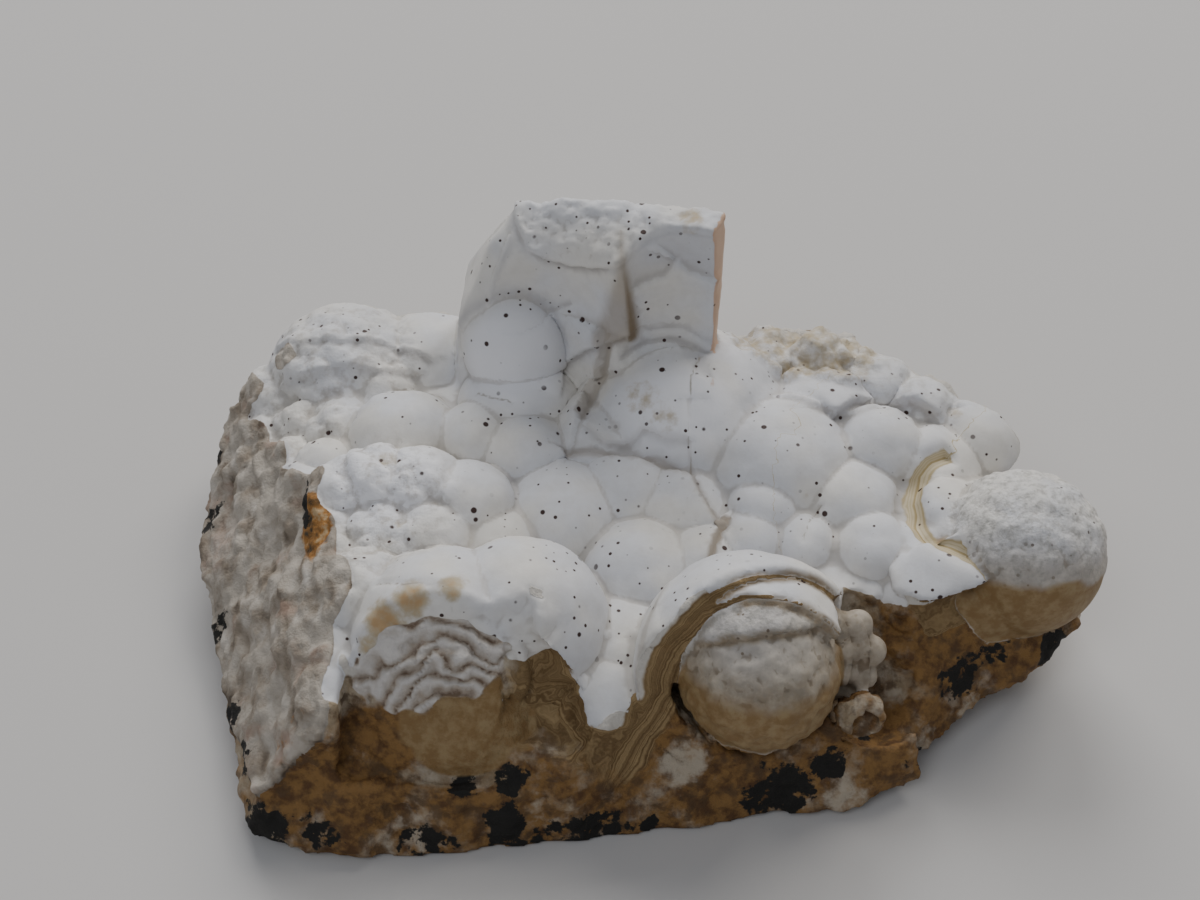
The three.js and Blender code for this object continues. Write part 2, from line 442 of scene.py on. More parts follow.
def mesh_of(name: str, parts: list) -> bpy.types.Object:
    """Makes an object of the parts given, in millimetres.

    Args:
        name: the object's name.
        parts: balls, blocks and breaks, or objects, which are used up.

    Returns:
        The object, linked to the scene.
    """
    bm = bmesh.new()
    for part in parts:
        if isinstance(part, bpy.types.Object):
            bm.from_mesh(part.data)
            bpy.data.objects.remove(part)
        else:
            part.add_to(bm)
    mesh = bpy.data.meshes.new(name)
    bm.to_mesh(mesh)
    bm.free()
    made = bpy.data.objects.new(name, mesh)
    bpy.context.scene.collection.objects.link(made)
    return made


def applied(piece: bpy.types.Object) -> bpy.types.Object:
    """Gives a piece the mesh that its modifiers make of it.

    Args:
        piece: an object with modifiers.

    Returns:
        The same object, with none.
    """
    graph = bpy.context.evaluated_depsgraph_get()
    made = bpy.data.meshes.new_from_object(piece.evaluated_get(graph))
    piece.modifiers.clear()
    piece.data = made
    return piece


def skinned(piece: bpy.types.Object, voxel: float) -> bpy.types.Object:
    """Gives a piece one even skin around all that is in it.

    Args:
        piece: the object.
        voxel: the size of the grid that the skin is drawn on.

    Returns:
        The same object.
    """
    grid = piece.modifiers.new("skin", "REMESH")
    grid.mode = "VOXEL"
    grid.voxel_size = voxel
    return applied(piece)


def thinned(piece: bpy.types.Object, most: int) -> bpy.types.Object:
    """Joins the faces of a piece where it is smooth, until it has few enough.

    Args:
        piece: the object.
        most: the most triangles that it may have.

    Returns:
        The same object.
    """
    faces = sum(len(face.vertices) - 2 for face in piece.data.polygons)
    fewer = piece.modifiers.new("fewer", "DECIMATE")
    fewer.ratio = min(1.0, most / faces)
    return applied(piece)


def cut(piece: bpy.types.Object, away: list) -> bpy.types.Object:
    """Cuts one thing after another away from a piece.

    Args:
        piece: the object that is cut.
        away: the balls, blocks, breaks or objects that are cut from it.

    Returns:
        The same object.
    """
    for part in away:
        knife = mesh_of("knife", [part])
        step = piece.modifiers.new("cut", "BOOLEAN")
        step.operation = "DIFFERENCE"
        step.solver = "MANIFOLD"
        step.object = knife
        applied(piece)
        bpy.data.objects.remove(knife)
    return piece


# ---------------------------------------------------------------- sub-assemblies


@dataclass(frozen=True)
class Bed:
    """The matrix rock under the crust, and the blocks that carry its higher ground."""

    rest: Rows = ((-21, -15), (-15, -19.4), (-1, -18.2), (9, -15), (12, 2), (2, 11), (-16, 11), (-22, 0))
    underside: Rows = (
        (-25.2, -19.8, 0.9), (-16, -22, 0.3), (-1, -20.6, 0.3), (12, -18.6, 0.7), (20, -13.5, 2),
        (26.6, -9.4, 3.8), (28.2, -5, 4.6), (27.6, 1, 5.2), (24, 10.5, 4.6), (12, 17.5, 2.8),
        (-6, 20, 1.6), (-24, 20, 2.4), (-31.4, 13, 3.6), (-32, 3, 3.6), (-27.6, -11, 2),
    )
    top: Rows = (
        (-24, -16, 7.4), (-3, -17.8, 6.9), (12, -15, 7.6), (22, -8.5, 8.4), (24, 6, 8.6), (8, 14.5, 9),
        (-12, 15.5, 9), (-28.4, 14, 8.4), (-30.6, 5, 6.4),
    )
    left_step: Rows = (
        (-21.4, -17.2, 10.2), (-21.4, -9, 12), (-22.8, -1, 12.8), (-24.6, 4, 10.8), (-15.6, -14.6, 8.6),
        (-12.4, -2, 11), (-9, 1, 9.6), (-11, -10, 8.2), (-25.4, -18.6, 4), (-29, 4, 5), (-9, 3, 5),
        (-10, -17, 4),
    )
    back_step: Rows = (
        (-28, 12.6, 9), (-12, 17, 11.6), (8, 15.6, 12.4), (17, 10.6, 11.4), (22.6, 6, 10),
        (22.6, -3.5, 9.4), (13, -7.8, 9.6), (4, -6.5, 9.4), (-5, -6, 8.8), (-12, -1, 10.6),
        (-22, 4, 10.4), (-30, 12, 6.4), (-26, 19, 7.4), (-10, 19.6, 9.8), (9, 17.4, 9.6), (8, 17, 5),
        (24, 6, 5), (22, -6, 5), (-5, -10, 5), (-25, 2, 5),
    )
    front_step: Rows = (
        (-22.4, -14.5, 9.8), (-22, -18.2, 8.4), (-4.8, -18.4, 6.6), (-4.4, -13, 9.4), (-8, -9, 9),
        (-18, -9, 10), (-16.5, -16.2, 9.6), (-8.6, -16.2, 9.2), (-23, -9, 5), (-5, -9, 5),
    )

    def blocks(self) -> list[Block]:
        """Gives the blocks that the bed is made of.

        Returns:
            The ground and the three steps on it.
        """
        rest = ((x, y, 0) for x, y in self.rest)
        ground = Block((*rest, *self.underside, *self.top))
        return [ground, Block(self.left_step), Block(self.back_step), Block(self.front_step)]


@dataclass(frozen=True)
class Crust:
    """The white domes, each wider than high, as their centre and radius."""

    spread: float = 1.18
    back: Rows = (
        (2.1, 8.5, 8.9, 6.7), (-9.4, 8.5, 10.8, 3.5), (-8.8, 4.1, 10.3, 2.8), (-12.2, 5.2, 10.8, 2.4),
        (-17, 5.6, 10.2, 3.3), (-3.6, 5.4, 9.6, 3.5),
    )
    left: Rows = (
        (-21.8, 14.2, 8.5, 5), (-25.6, 12.4, 6.8, 3.7), (-24.4, 8.5, 8.9, 1.8), (-28.9, 10.6, 6.9, 1.9),
        (-21.4, 7.6, 9.2, 2.4), (-27.2, 8.2, 7, 2.3), (-15.6, 14.6, 8.8, 4.2), (-22.2, 3.4, 9.8, 1.9),
        (-25.2, 4.8, 8.4, 2), (-18.6, 10.8, 9.4, 2.6),
    )
    ridge: Rows = (
        (-20.3, -0.4, 11.3, 2.2), (-18.2, 0.1, 11.9, 2.2), (-15.4, -0.2, 11.4, 2.7),
        (-12.4, -1, 10.9, 2.7), (-14.4, -3.4, 10.3, 2.7), (-17.4, -3.6, 10, 2.8), (-18.6, -8.2, 9.9, 2.9),
        (-10.6, -3.4, 9.5, 2.5),
    )
    basin: Rows = (
        (-6.2, -0.4, 8.8, 3.5), (-2, 1.5, 8.9, 3.3), (1.7, 0.1, 8.5, 3.4), (-1, -4.8, 8.3, 3.3),
        (6, -2.8, 9.3, 2.2), (6.9, -0.8, 10.2, 2.1), (9.5, -3.3, 9.3, 2), (2.6, -4.4, 8, 3),
        (-2.4, -9.6, 6.4, 3.6), (-3.2, -12.6, 5.6, 3.4),
    )
    right: Rows = (
        (8.3, 3.7, 9.3, 4.8), (12.8, 0.1, 9.4, 3), (13.9, -3.8, 9.5, 2.3), (15, 4.4, 10.6, 2.8),
        (16.8, -3.9, 8.4, 3), (18.8, -0.9, 8.6, 3.3), (11.4, 8, 9.8, 3.6), (18.4, 3.6, 9.2, 3.2),
        (16.4, -6.6, 8, 2.4), (19.8, -4.8, 8, 2.5),
    )
    lumps: Rows = (
        (22, 6.1, 9.9, 2.6), (11.7, 12.2, 11.8, 2.5), (8.2, 12.4, 11.2, 2.5), (15.2, 10.5, 10.8, 2.5),
        (18.6, 8.4, 10.2, 2.5),
    )
    pale_dome: Ball = Ball((-8.6, -9.6, 9.2), 5.4)
    flaked_dome: Ball = Ball((-13.2, -10.9, 8.6), 6.1)
    flaked_core: Ball = Ball((-12.2, -13.6, 5.4), 4.0, (1.25, 1, 1))
    flaked_foot: Edge = ((-19.5, -16.9, -15.2, -12, -10.2, -7.5), (10.2, 8.9, 8.6, 9.4, 10.2, 10.6))
    flaked_arch: tuple[float, ...] = (-13.2, 5.5, 8.7, 4.6)
    arch_edge: Span = (0.96, 1.04)
    flaked_right: Span = (-7.4, -8)
    flaked_low: Span = (6, 6.8)
    core_left: Span = (-16.4, -15.4)
    bare: Spot = Spot((-8.2, -13.1, 12.7), 1.9, 0.5)
    knobbly_ridge: Spot = Spot((-19, -3, 12), 4.5, 3.5)
    ridge_left: Span = (-22, -20)
    knobbly_spots: tuple[tuple[float, Spot], ...] = (
        (0.9, Spot((-26, 9, 9), 5, 3)), (0.75, Spot((-22, 12, 9.5), 5.5, 2)),
        (0.6, Spot((18, 9, 11.5), 3, 2)),
    )
    rugged: Spot = Spot((10.4, 12.2, 12.8), 4.6, 1.6)
    rugged_front: Span = (9.6, 10.6)
    rugged_slant: float = 0.35
    rugged_middle: float = 6

    def domes(self) -> list[Ball]:
        """Gives every dome of the crust."""
        rows = (*self.back, *self.left, *self.ridge, *self.basin, *self.right, *self.lumps)
        return [*balls(rows, (self.spread, self.spread, 1.0)), self.pale_dome, self.flaked_dome]

    def knobbly(self, points: Values) -> tuple[Values, Values]:
        """Gives where the crust is knobbly.

        Args:
            points: the places.

        Returns:
            How knobbly each place is, and how far it belongs to the rugged ground at the back.
        """
        x, y, _ = points.T
        behind = y + self.rugged_slant * (x - self.rugged_middle)
        rugged = self.rugged.over(points) * smooth(*self.rugged_front, behind)
        ridge = self.knobbly_ridge.over(points) * smooth(*self.ridge_left, x)
        spots = (share * spot.over(points) for share, spot in self.knobbly_spots)
        return most(ridge, rugged, *spots), rugged

    def flaked(self, points: Values, face: Values) -> dict[str, Values]:
        """Gives what the dome that flaked off left behind.

        Args:
            points: the places.
            face: how far they are behind the face that it flaked off along.

        Returns:
            Where the ledges, the smooth core under them and the bare skin over them are.
        """
        x, _, z = points.T
        below = np.interp(x, *self.flaked_foot) - z + 0.9 * grain(points, 1.8, 21, 2)
        gone = smooth(0.5, 0.2, face) * smooth(*self.flaked_right, x + 0.5 * grain(points, 1.2, 29))
        gone = gone * smooth(*self.flaked_low, z + 0.5 * grain(points, 1.6, 27, 2))
        middle, half, height, rise = self.flaked_arch
        arch = np.hypot((x - middle) / half, (z - height) / rise) + 0.07 * grain(points, 1.6, 24, 2)
        over = smooth(0.3, -0.3, below)
        core = self.flaked_core.touched(points) * smooth(-0.2, 0.2, below)
        core = np.maximum(core, gone * smooth(-0.3, 0.3, below))
        bare = gone * smooth(*self.arch_edge, arch) * over
        return {
            "flake": gone * smooth(*self.arch_edge[::-1], arch) * over,
            "core": core * smooth(*self.core_left, x + 0.8 * grain(points, 2.0, 35, 2)),
            "bare": np.maximum(bare, self.bare.over(points)),
        }


@dataclass(frozen=True)
class Fin:
    """The broken slab that stands up at the back, with the lobe under its collar."""

    corners: Rows = (
        (3.6, 7.6, 8), (3.4, 8.6, 25.3), (-2.4, 7.6, 22.8), (-9.4, 8.8, 20), (-13.3, 10.4, 16.8),
        (-13.6, 10, 8), (4.4, 12.8, 8), (4.5, 11.1, 25.5), (-5.7, 13.2, 25.4), (-9, 13.8, 24.4),
        (-10.9, 12, 22.7), (-12.8, 15.8, 18), (-14.2, 17, 8),
    )
    hollows: tuple[Ball, ...] = (
        Ball((1.2, 3.8, 20), 6, (1, 1, 2.4)), Ball((-8.2, 3, 20), 7.8, (1, 1, 2)),
    )
    wedge: Block = Block((
        (-2.3, 8.3, 24), (-3.7, 9.8, 18), (-1.7, 7.9, 16.6), (-0.9, 9.6, 16.2), (-2.3, 10.5, 24),
    ))
    wedge_middle: float = -2.3
    wedge_top: float = 24
    wedge_height: float = 7
    wedge_sides: tuple[float, float] = (1.4, 1.2)
    wedge_low: Span = (16.2, 17)
    wedge_back: Span = (10.6, 10.2)
    lobe: Ball = Ball((-9.7, 10.9, 14.6), 3.5, (1, 1, 1.2))
    collar: float = 3.75
    foot: Span = (12, 13)
    front: Span = (7.2, 8)
    front_slant: float = 0.3
    right: Span = (6, 5)
    rough_low: Span = (15, 17)
    sliver_left: Span = (3.1, 3.4)
    sliver_low: Span = (14.6, 15.4)
    sliver_facing: Span = (0.35, 0.6)
    lobe_low: Span = (13.5, 16)
    top: Line = Line(
        ((-9.6, 24.8), (-9.2, 23.6), (-8.4, 22.7), (-7.3, 22.1), (-6.0, 21.8), (-4.1, 22.2),
         (-2.4, 23.2), (-0.8, 24.5), (0.8, 25.1), (4.6, 25.1)), 7, 15, 0.34, 0.8, axes=FROM_FRONT)
    crest: Line = Line(
        ((3.8, 21.5), (2.2, 21.9), (1.3, 22.8), (0.6, 21.5), (-1.3, 21.0)), 7, 11.5, 0.36, 1.2,
        axes=FROM_FRONT)
    ledges: tuple = (
        (((-6.4, 13.8), (-5.6, 14.2), (-4.2, 15.7), (-2.2, 17.2)), 7, 12, 0.4, 1.4),
        (((-11.3, 18.6), (-10.6, 21.0), (-9.6, 23.1)), 8, 14, -0.22, 0.9),
        (((-5.6, 18.5), (-7.1, 17.6)), 8, 12, 0.2, 0.5),
        (((3.9, 16.1), (1.8, 17.0), (-0.4, 16.9)), 7, 11, 0.18, 0.5),
        (((3.6, 15.3), (1.0, 16.0), (-0.8, 15.9), (-2.2, 15.2)), 5, 10.5, 0.3, 0.7),
    )

    def lines(self) -> list[Line]:
        """Gives the lines and ledges on the fin's front."""
        return [self.top, self.crest, *(Line(*row, axes=FROM_FRONT) for row in self.ledges)]

    def build(self) -> bpy.types.Object:
        """Makes the fin with its hollows, wedge, collar and lobe.

        Returns:
            The fin as one object.
        """
        slab = mesh_of("fin", [Block(self.corners)])
        cut(slab, self.hollows)
        slab = skinned(mesh_of("fin", [slab, self.wedge]), VOXEL)
        cut(slab, [Ball(self.lobe.centre, self.collar, self.lobe.stretch)])
        return mesh_of("fin", [slab, self.lobe])

    def body(self, points: Values) -> Values:
        """Gives where the fin is.

        Args:
            points: the places.

        Returns:
            How far each belongs to it, from 0 to 1.
        """
        x, y, z = points.T
        behind = smooth(*self.front, y + self.front_slant * x * (x > 0))
        return smooth(*self.foot, z) * behind * smooth(*self.right, x)

    def roughness(self, points: Values) -> Values:
        """Gives where the fin is broken rough.

        Args:
            points: the places.

        Returns:
            How far each belongs to it, from 0 to 1.
        """
        above = self.top.across(points)
        over = np.where(above < IN_REACH, smooth(-0.1, 0.2, above), 0.0)
        return over * smooth(*self.rough_low, points[:, 2])

    def brown(self, points: Values) -> Values:
        """Gives where the wedge is brown, and browner on its right side as painted shade.

        Args:
            points: the places.

        Returns:
            How brown each is, from 0 to 1.
        """
        x, y, z = points.T
        left, right = self.wedge_sides
        share = np.clip((self.wedge_top - z) / self.wedge_height, 0, 1)
        off = x - self.wedge_middle
        inside = smooth(0.3, -0.2, np.where(off < 0, -off / left, off / right) - share)
        inside = inside * smooth(*self.wedge_low, z) * smooth(*self.wedge_back, y)
        # painted shade: its right side gets the full brown, its left side a little over half
        return inside * (0.55 + 0.45 * smooth(-0.1, 0.2, off - 0.5 * share))

    def shade(self, points: Values) -> Values:
        """Gives how dark the feet of the ledges and the ground around the lobe are.

        Args:
            points: the places.

        Returns:
            How dark each is, from 0 to 1.
        """
        feet = [0.6 * line.foot(points, 0.2) for line in self.lines()]
        around = bell(self.lobe.outside(points) - 0.42, 0.3) * smooth(*self.lobe_low, points[:, 2])
        above = self.crest.across(points)
        feet += [0.8 * around, 0.5 * smooth(-4.5, -0.3, above) * (above < 0)]
        return 0.75 * np.clip(most(*feet), 0, 1)

    def sliver(self, points: Values, normals: Values) -> Values:
        """Gives where the fin's right end shows its orange inside.

        Args:
            points: the places.
            normals: the way that the surface faces at each.

        Returns:
            How far each belongs to it, from 0 to 1.
        """
        x, _, z = points.T
        end = smooth(*self.sliver_facing, normals[:, 0]) * smooth(*self.sliver_left, x)
        return end * smooth(*self.sliver_low, z) * (x < self.right[1])


@dataclass(frozen=True)
class Nest:
    """The front ball in the broken shell that grew around it."""

    centre: Point = (5.5, -13.2, 9.2)
    outer: float = 7.2
    layer: Ball = Ball((5.8, -12.9, 9.9), 5.7)
    cap: Ball = Ball((6.0, -13.0, 10.0), 5.08)
    ball: Ball = Ball((5.9, -13.35, 9.55), 4.85)
    gap: Ball = Ball((5.75, -13.3, 8.9), 5.2)
    hollow: Ball = Ball((13.4, -13.2, 6.8), 3.6, (1, 0.9, 1))
    ledge: Ball = Ball((12.9, -12.2, 10.6), 3.4, (1.25, 1.0, 0.95))
    pocket: Ball = Ball((1.0, -18.0, 6.0), 2.6, (1.3, 0.8, 0.7))
    outer_break: Break = Break((3.5, -12.4, 14.7), (0.3, -0.9, 0.3), 17, 12, 8, 0.25)
    layer_break: Break = Break((6.6, -12.9, 15.5), (-0.2, -0.95, 0.1), 16, 20, 9, 0.3)
    cap_break: Break = Break((5.3, -13.9, 13.5), (0.1, -0.66, -0.74), 16, 16, 10, 0.35)
    nodules: Rows = (
        (10.3, -11.4, 11.4, 1), (11.9, -11.2, 11.1, 1), (11.3, -12.1, 10.1, 1.05), (11, -12.9, 8.8, 0.95),
        (12.8, -11.9, 9.5, 1), (12.4, -12.7, 8, 0.9), (11.2, -12.2, 6.8, 1.2),
    )
    ring: Point = (12.2, -14.8, 6.8)
    ring_radius: float = 1.5
    layer_low: Span = (11, 12)
    layer_facing: Span = (0.75, 0.9)
    cap_low: Span = (10.5, 11.5)
    seams_low: Span = (9.5, 11)
    beige_top: Span = (13.8, 11.8)
    tan_top: Span = (13, 9.6)

    def shell(self) -> Ball:
        """Gives the outside of the shell."""
        return Ball(self.centre, self.outer)

    def inside(self) -> list[Ball]:
        """Gives what is hollowed out of the shell and beside it."""
        return [self.gap, self.hollow, self.ledge, self.pocket]

    def outer_layer(self) -> bpy.types.Object:
        """Makes what broke off the shell's outer layer over its inner one."""
        return cut(mesh_of("layer", [self.outer_break]), [self.layer])

    def grown(self) -> list:
        """Makes what grew in the hollows: the inner layer, the ball with its cap, and the nodules.

        Returns:
            Objects and balls.
        """
        beside = [self.hollow, self.ledge]
        layer = cut(mesh_of("layer", [self.layer]), [self.layer_break, *beside])
        cap = cut(mesh_of("cap", [self.cap]), [self.cap_break, *beside])
        broken_ring = cut(
            mesh_of("ring", [Ball(self.ring, self.ring_radius, (1, 0.8, 1.25))]),
            [Ball((self.ring[0] + 0.1, self.ring[1] - 0.9, self.ring[2]), 0.95, (1, 1, 1.25))],
        )
        return [layer, cap, broken_ring, self.ball, *balls(self.nodules)]

    def bare_layer(self, at: "Surface") -> Values:
        """Gives where the top of the inner layer shows.

        Args:
            at: the surface.

        Returns:
            How far each place belongs to it, from 0 to 1.
        """
        away = at.points - np.array(self.layer.centre)
        facing = np.sum(at.normals * away, axis=1) / np.linalg.norm(away, axis=1)
        top = self.layer.touched(at.points, 0.3) * smooth(*self.layer_low, at.points[:, 2])
        return top * smooth(*self.layer_facing, facing)

    def rounds(self, points: Values) -> dict[str, Values]:
        """Gives where the ball, its cap and the nodules are.

        Args:
            points: the places.

        Returns:
            The names and how far each place belongs to them, from 0 to 1.
        """
        ball = self.ball.touched(points, near=0.15)
        cap = self.cap.touched(points, near=0.15) * (1 - ball) * smooth(*self.cap_low, points[:, 2])
        nodules = (Spot(one.centre, one.radius + 0.2, 0.3).over(points) for one in balls(self.nodules))
        return {"ball": ball, "cap": cap, "nodules": most(*nodules)}

    def seams(self, points: Values) -> Values:
        """Gives how far places are from the edges where one layer ends on the next."""
        pairs = [(self.outer_break, self.layer), (self.layer_break, self.cap), (self.cap_break, self.ball)]
        return least(*(np.hypot(edge.behind(points), on.outside(points)) for edge, on in pairs))


@dataclass(frozen=True)
class RightEnd:
    """The ball at the right end, the cheek that it grew on and the groove in the crust by it."""

    ball: Ball = Ball((23.6, -3.6, 9.3), 5.0, (1.05, 1.08, 1.04))
    cheek: Ball = Ball((20.8, -2.3, 7.6), 5.3, (1.15, 1.1, 0.8))
    foot: Ball = Ball((21.0, -4.9, 7.6), 3.7)
    rim: Block = Block((
        (14.6, -8, 10.2), (16.8, -8.9, 10.4), (19.4, -8.4, 11), (21.7, -7.4, 11.5), (21, -5.9, 12.6),
        (20.2, -4.6, 12.8), (17, -4.2, 11.7), (15.2, -5.4, 11.2), (14.4, -7, 10.6), (16, -7, 8.2),
        (20.2, -6.6, 9.4), (18, -4.6, 7),
    ))
    groove: Line = Line(
        ((19.6, 2.7), (18.1, 1.9), (16.9, 0.6), (16.5, -0.8), (16.6, -2.4), (17.0, -3.8), (17.9, -5.1),
         (19.3, -6.1), (20.4, -6.9), (21.6, -7.5)), 8.5, 14)
    deep: float = 0.75
    wide: float = 0.7
    rim_place: Spot = Spot((18.4, -6.8, 10.4), 3.6, 0.6)
    rim_edge: Edge = ((14.5, 16.8, 19.4, 21.7), (9.6, 9.7, 10.3, 10.7))
    under_rim_front: Span = (-6.2, -6.8)
    under_rim_left: Span = (15, 16)
    under_rim_right: float = 23
    top_slant: float = 0.87
    top_drop: float = 2
    top_edge: Span = (1.1, -0.9)
    cheek_left: Span = (15, 17)
    cheek_tan_top: Span = (9.8, 8.8)
    cheek_tan_front: Span = (-3.6, -4.4)

    def above(self, points: Values) -> Values:
        """Gives how far places are above the edge of the ball's pitted top, in millimetres."""
        away = points - np.array(self.ball.centre)
        return away[:, 2] + self.top_slant * away[:, 1] + self.top_drop + 0.5 * grain(points, 2.2, 25, 2)

    def lower(self, points: Values) -> Values:
        """Gives how far places are under the edge of the ball's pitted top, from 0 to 1."""
        return smooth(*self.top_edge, self.above(points))

    def rim_top(self, at: "Surface") -> Values:
        """Gives where the upper side of the rim is, from 0 to 1."""
        up = smooth(0.45, 0.2, np.abs(self.rim.depth(at.points))) * smooth(0.2, 0.5, at.normals[:, 2])
        return up * self.rim_place.over(at.points)

    def under_rim(self, points: Values) -> Values:
        """Gives where the rock is broken under the rim's edge.

        Args:
            points: the places.

        Returns:
            How far each belongs to it, from 0 to 1.
        """
        x, y, z = points.T
        under = smooth(0.2, -0.1, z - np.interp(x, *self.rim_edge))
        across = smooth(*self.under_rim_left, x) * (x < self.under_rim_right)
        return under * smooth(*self.under_rim_front, y) * across

    def rounds(self, points: Values) -> dict[str, Values]:
        """Gives where the ball is, and the cheek with the foot under it.

        Args:
            points: the places.

        Returns:
            The names and how far each place belongs to them, from 0 to 1.
        """
        right = self.ball.touched(points)
        cheek = np.maximum(self.cheek.touched(points), self.foot.touched(points))
        return {"right": right, "cheek": cheek * (1 - right) * smooth(*self.cheek_left, points[:, 0])}


@dataclass(frozen=True)
class Breaks:
    """The faces on which the specimen was broken out of the rock."""

    front: Break = Break((-4, -17.3, 5.3), (0.107, -0.927, 0.358), 46, 26, 1)
    left: Break = Break((-27.2, -2, 6.6), (-0.715, -0.203, 0.669), 38, 22, 2)
    right_front: Break = Break((21.2, -9.1, 5.2), (0.41, -0.775, 0.483), 14.4, 16, 3)
    back: Break = Break((-5, 17.2, 6), (0.12, 0.97, 0.2), 50, 20, 4)
    back_right: Break = Break((19, 11.3, 7), (0.62, 0.76, 0.18), 30, 20, 5)
    flaked: Break = Break((-13.3, -13.7, 10.5), (-0.06, -0.84, 0.54), 11.6, 15, 6, 0.5, -1.0)
    band: Block = Block((
        (-7.6, -13, 12.6), (-4.1, -15.8, 7.3), (-9.6, -13, 12.8), (-9.6, -15.8, 6.5), (-4.1, -21, 7.3),
        (-7.6, -21, 12.6), (-9.6, -21, 12.8), (-9.6, -21, 6.5), (-5.2, -16.4, 5.6), (-5.2, -21, 5.6),
        (-6.4, -13.6, 11.6), (-5.5, -13.7, 10.2), (-4.9, -13.4, 8.4), (-6.4, -21, 11.6),
        (-5.5, -21, 10.2), (-4.9, -21, 8.4),
    ))
    sheet: Block = Block((
        (11.6, -6.7, 12.8), (13.6, -7.3, 12.8), (16.9, -9.2, 12.8), (11.6, -7.1, 8.5), (13.6, -7.7, 8.3),
        (16.9, -9.6, 8.1), (11.6, -14, 12.8), (16.9, -14, 12.8), (11.6, -14, 6), (16.9, -14, 5.6),
    ))
    sheet_edge: Edge = ((11.4, 13.6, 16.9, 21.5), (-6.8, -7.4, -9.3, -7.6))
    sheet_left: Span = (11.4, 11.8)
    sheet_right: float = 22
    sheet_top: Span = (10, 9.7)

    def all(self) -> list[Break]:
        """Gives every broken face."""
        return [self.front, self.left, self.right_front, self.back, self.back_right, self.flaked]

    def under_sheet(self, points: Values) -> Values:
        """Gives where the rock is broken under the crust at the front right.

        Args:
            points: the places.

        Returns:
            How far each belongs to it, from 0 to 1.
        """
        x, y, z = points.T
        before = smooth(0, 0.2, np.interp(x, *self.sheet_edge) - y)
        across = smooth(*self.sheet_left, x) * (x < self.sheet_right)
        return before * across * smooth(*self.sheet_top, z)


def read(items: Any, name: str, width: int, kind: type = float) -> Values:
    """Reads one property of all vertices or edges of a mesh.

    Args:
        items: the vertices or the edges.
        name: the property.
        width: how many numbers each has.
        kind: what the numbers are.

    Returns:
        One row for each.
    """
    values = np.empty(len(items) * width, dtype=kind)
    items.foreach_get(name, values)
    return values.reshape(-1, width)


@dataclass
class Surface:
    """The skin of the stone as arrays, in millimetres."""

    mesh: bpy.types.Mesh
    points: Values = field(init=False)
    normals: Values = field(init=False)
    edges: Values = field(init=False)

    def __post_init__(self) -> None:
        """Reads the mesh."""
        self.points = read(self.mesh.vertices, "co", 3)
        self.normals = read(self.mesh.vertices, "normal", 3)
        self.edges = read(self.mesh.edges, "vertices", 2, np.int32)

    def blurred(self, values: Values, passes: int) -> Values:
        """Gives values averaged with their neighbours'.

        Args:
            values: one value or more for each vertex.
            passes: how many times it is done.

        Returns:
            The averages.
        """
        a, b = self.edges.T
        count = len(values)
        shares = 1 + np.bincount(a, minlength=count) + np.bincount(b, minlength=count)
        columns = values.reshape(count, -1).T.copy()
        for _ in range(passes):
            for i, column in enumerate(columns):
                near = np.bincount(a, column[b], count) + np.bincount(b, column[a], count)
                columns[i] = (column + near) / shares
        return columns.T.reshape(values.shape)

    def hollow(self, passes: int) -> Values:
        """Gives how far each vertex lies below its surroundings."""
        return np.sum((self.blurred(self.points, passes) - self.points) * self.normals, axis=1)

    def placed(self, points: Values) -> "Surface":
        """Puts every vertex at its new place.

        Args:
            points: the places.

        Returns:
            The surface as it is now.
        """
        self.mesh.vertices.foreach_set("co", points.ravel())
        self.mesh.update()
        return Surface(self.mesh)

    def mark(self, name: Mark, values: Values) -> None:
        """Keeps values on the mesh."""
        kept = self.mesh.attributes.new(name.value, "FLOAT", "POINT")
        kept.data.foreach_set("value", values.astype(np.float32))


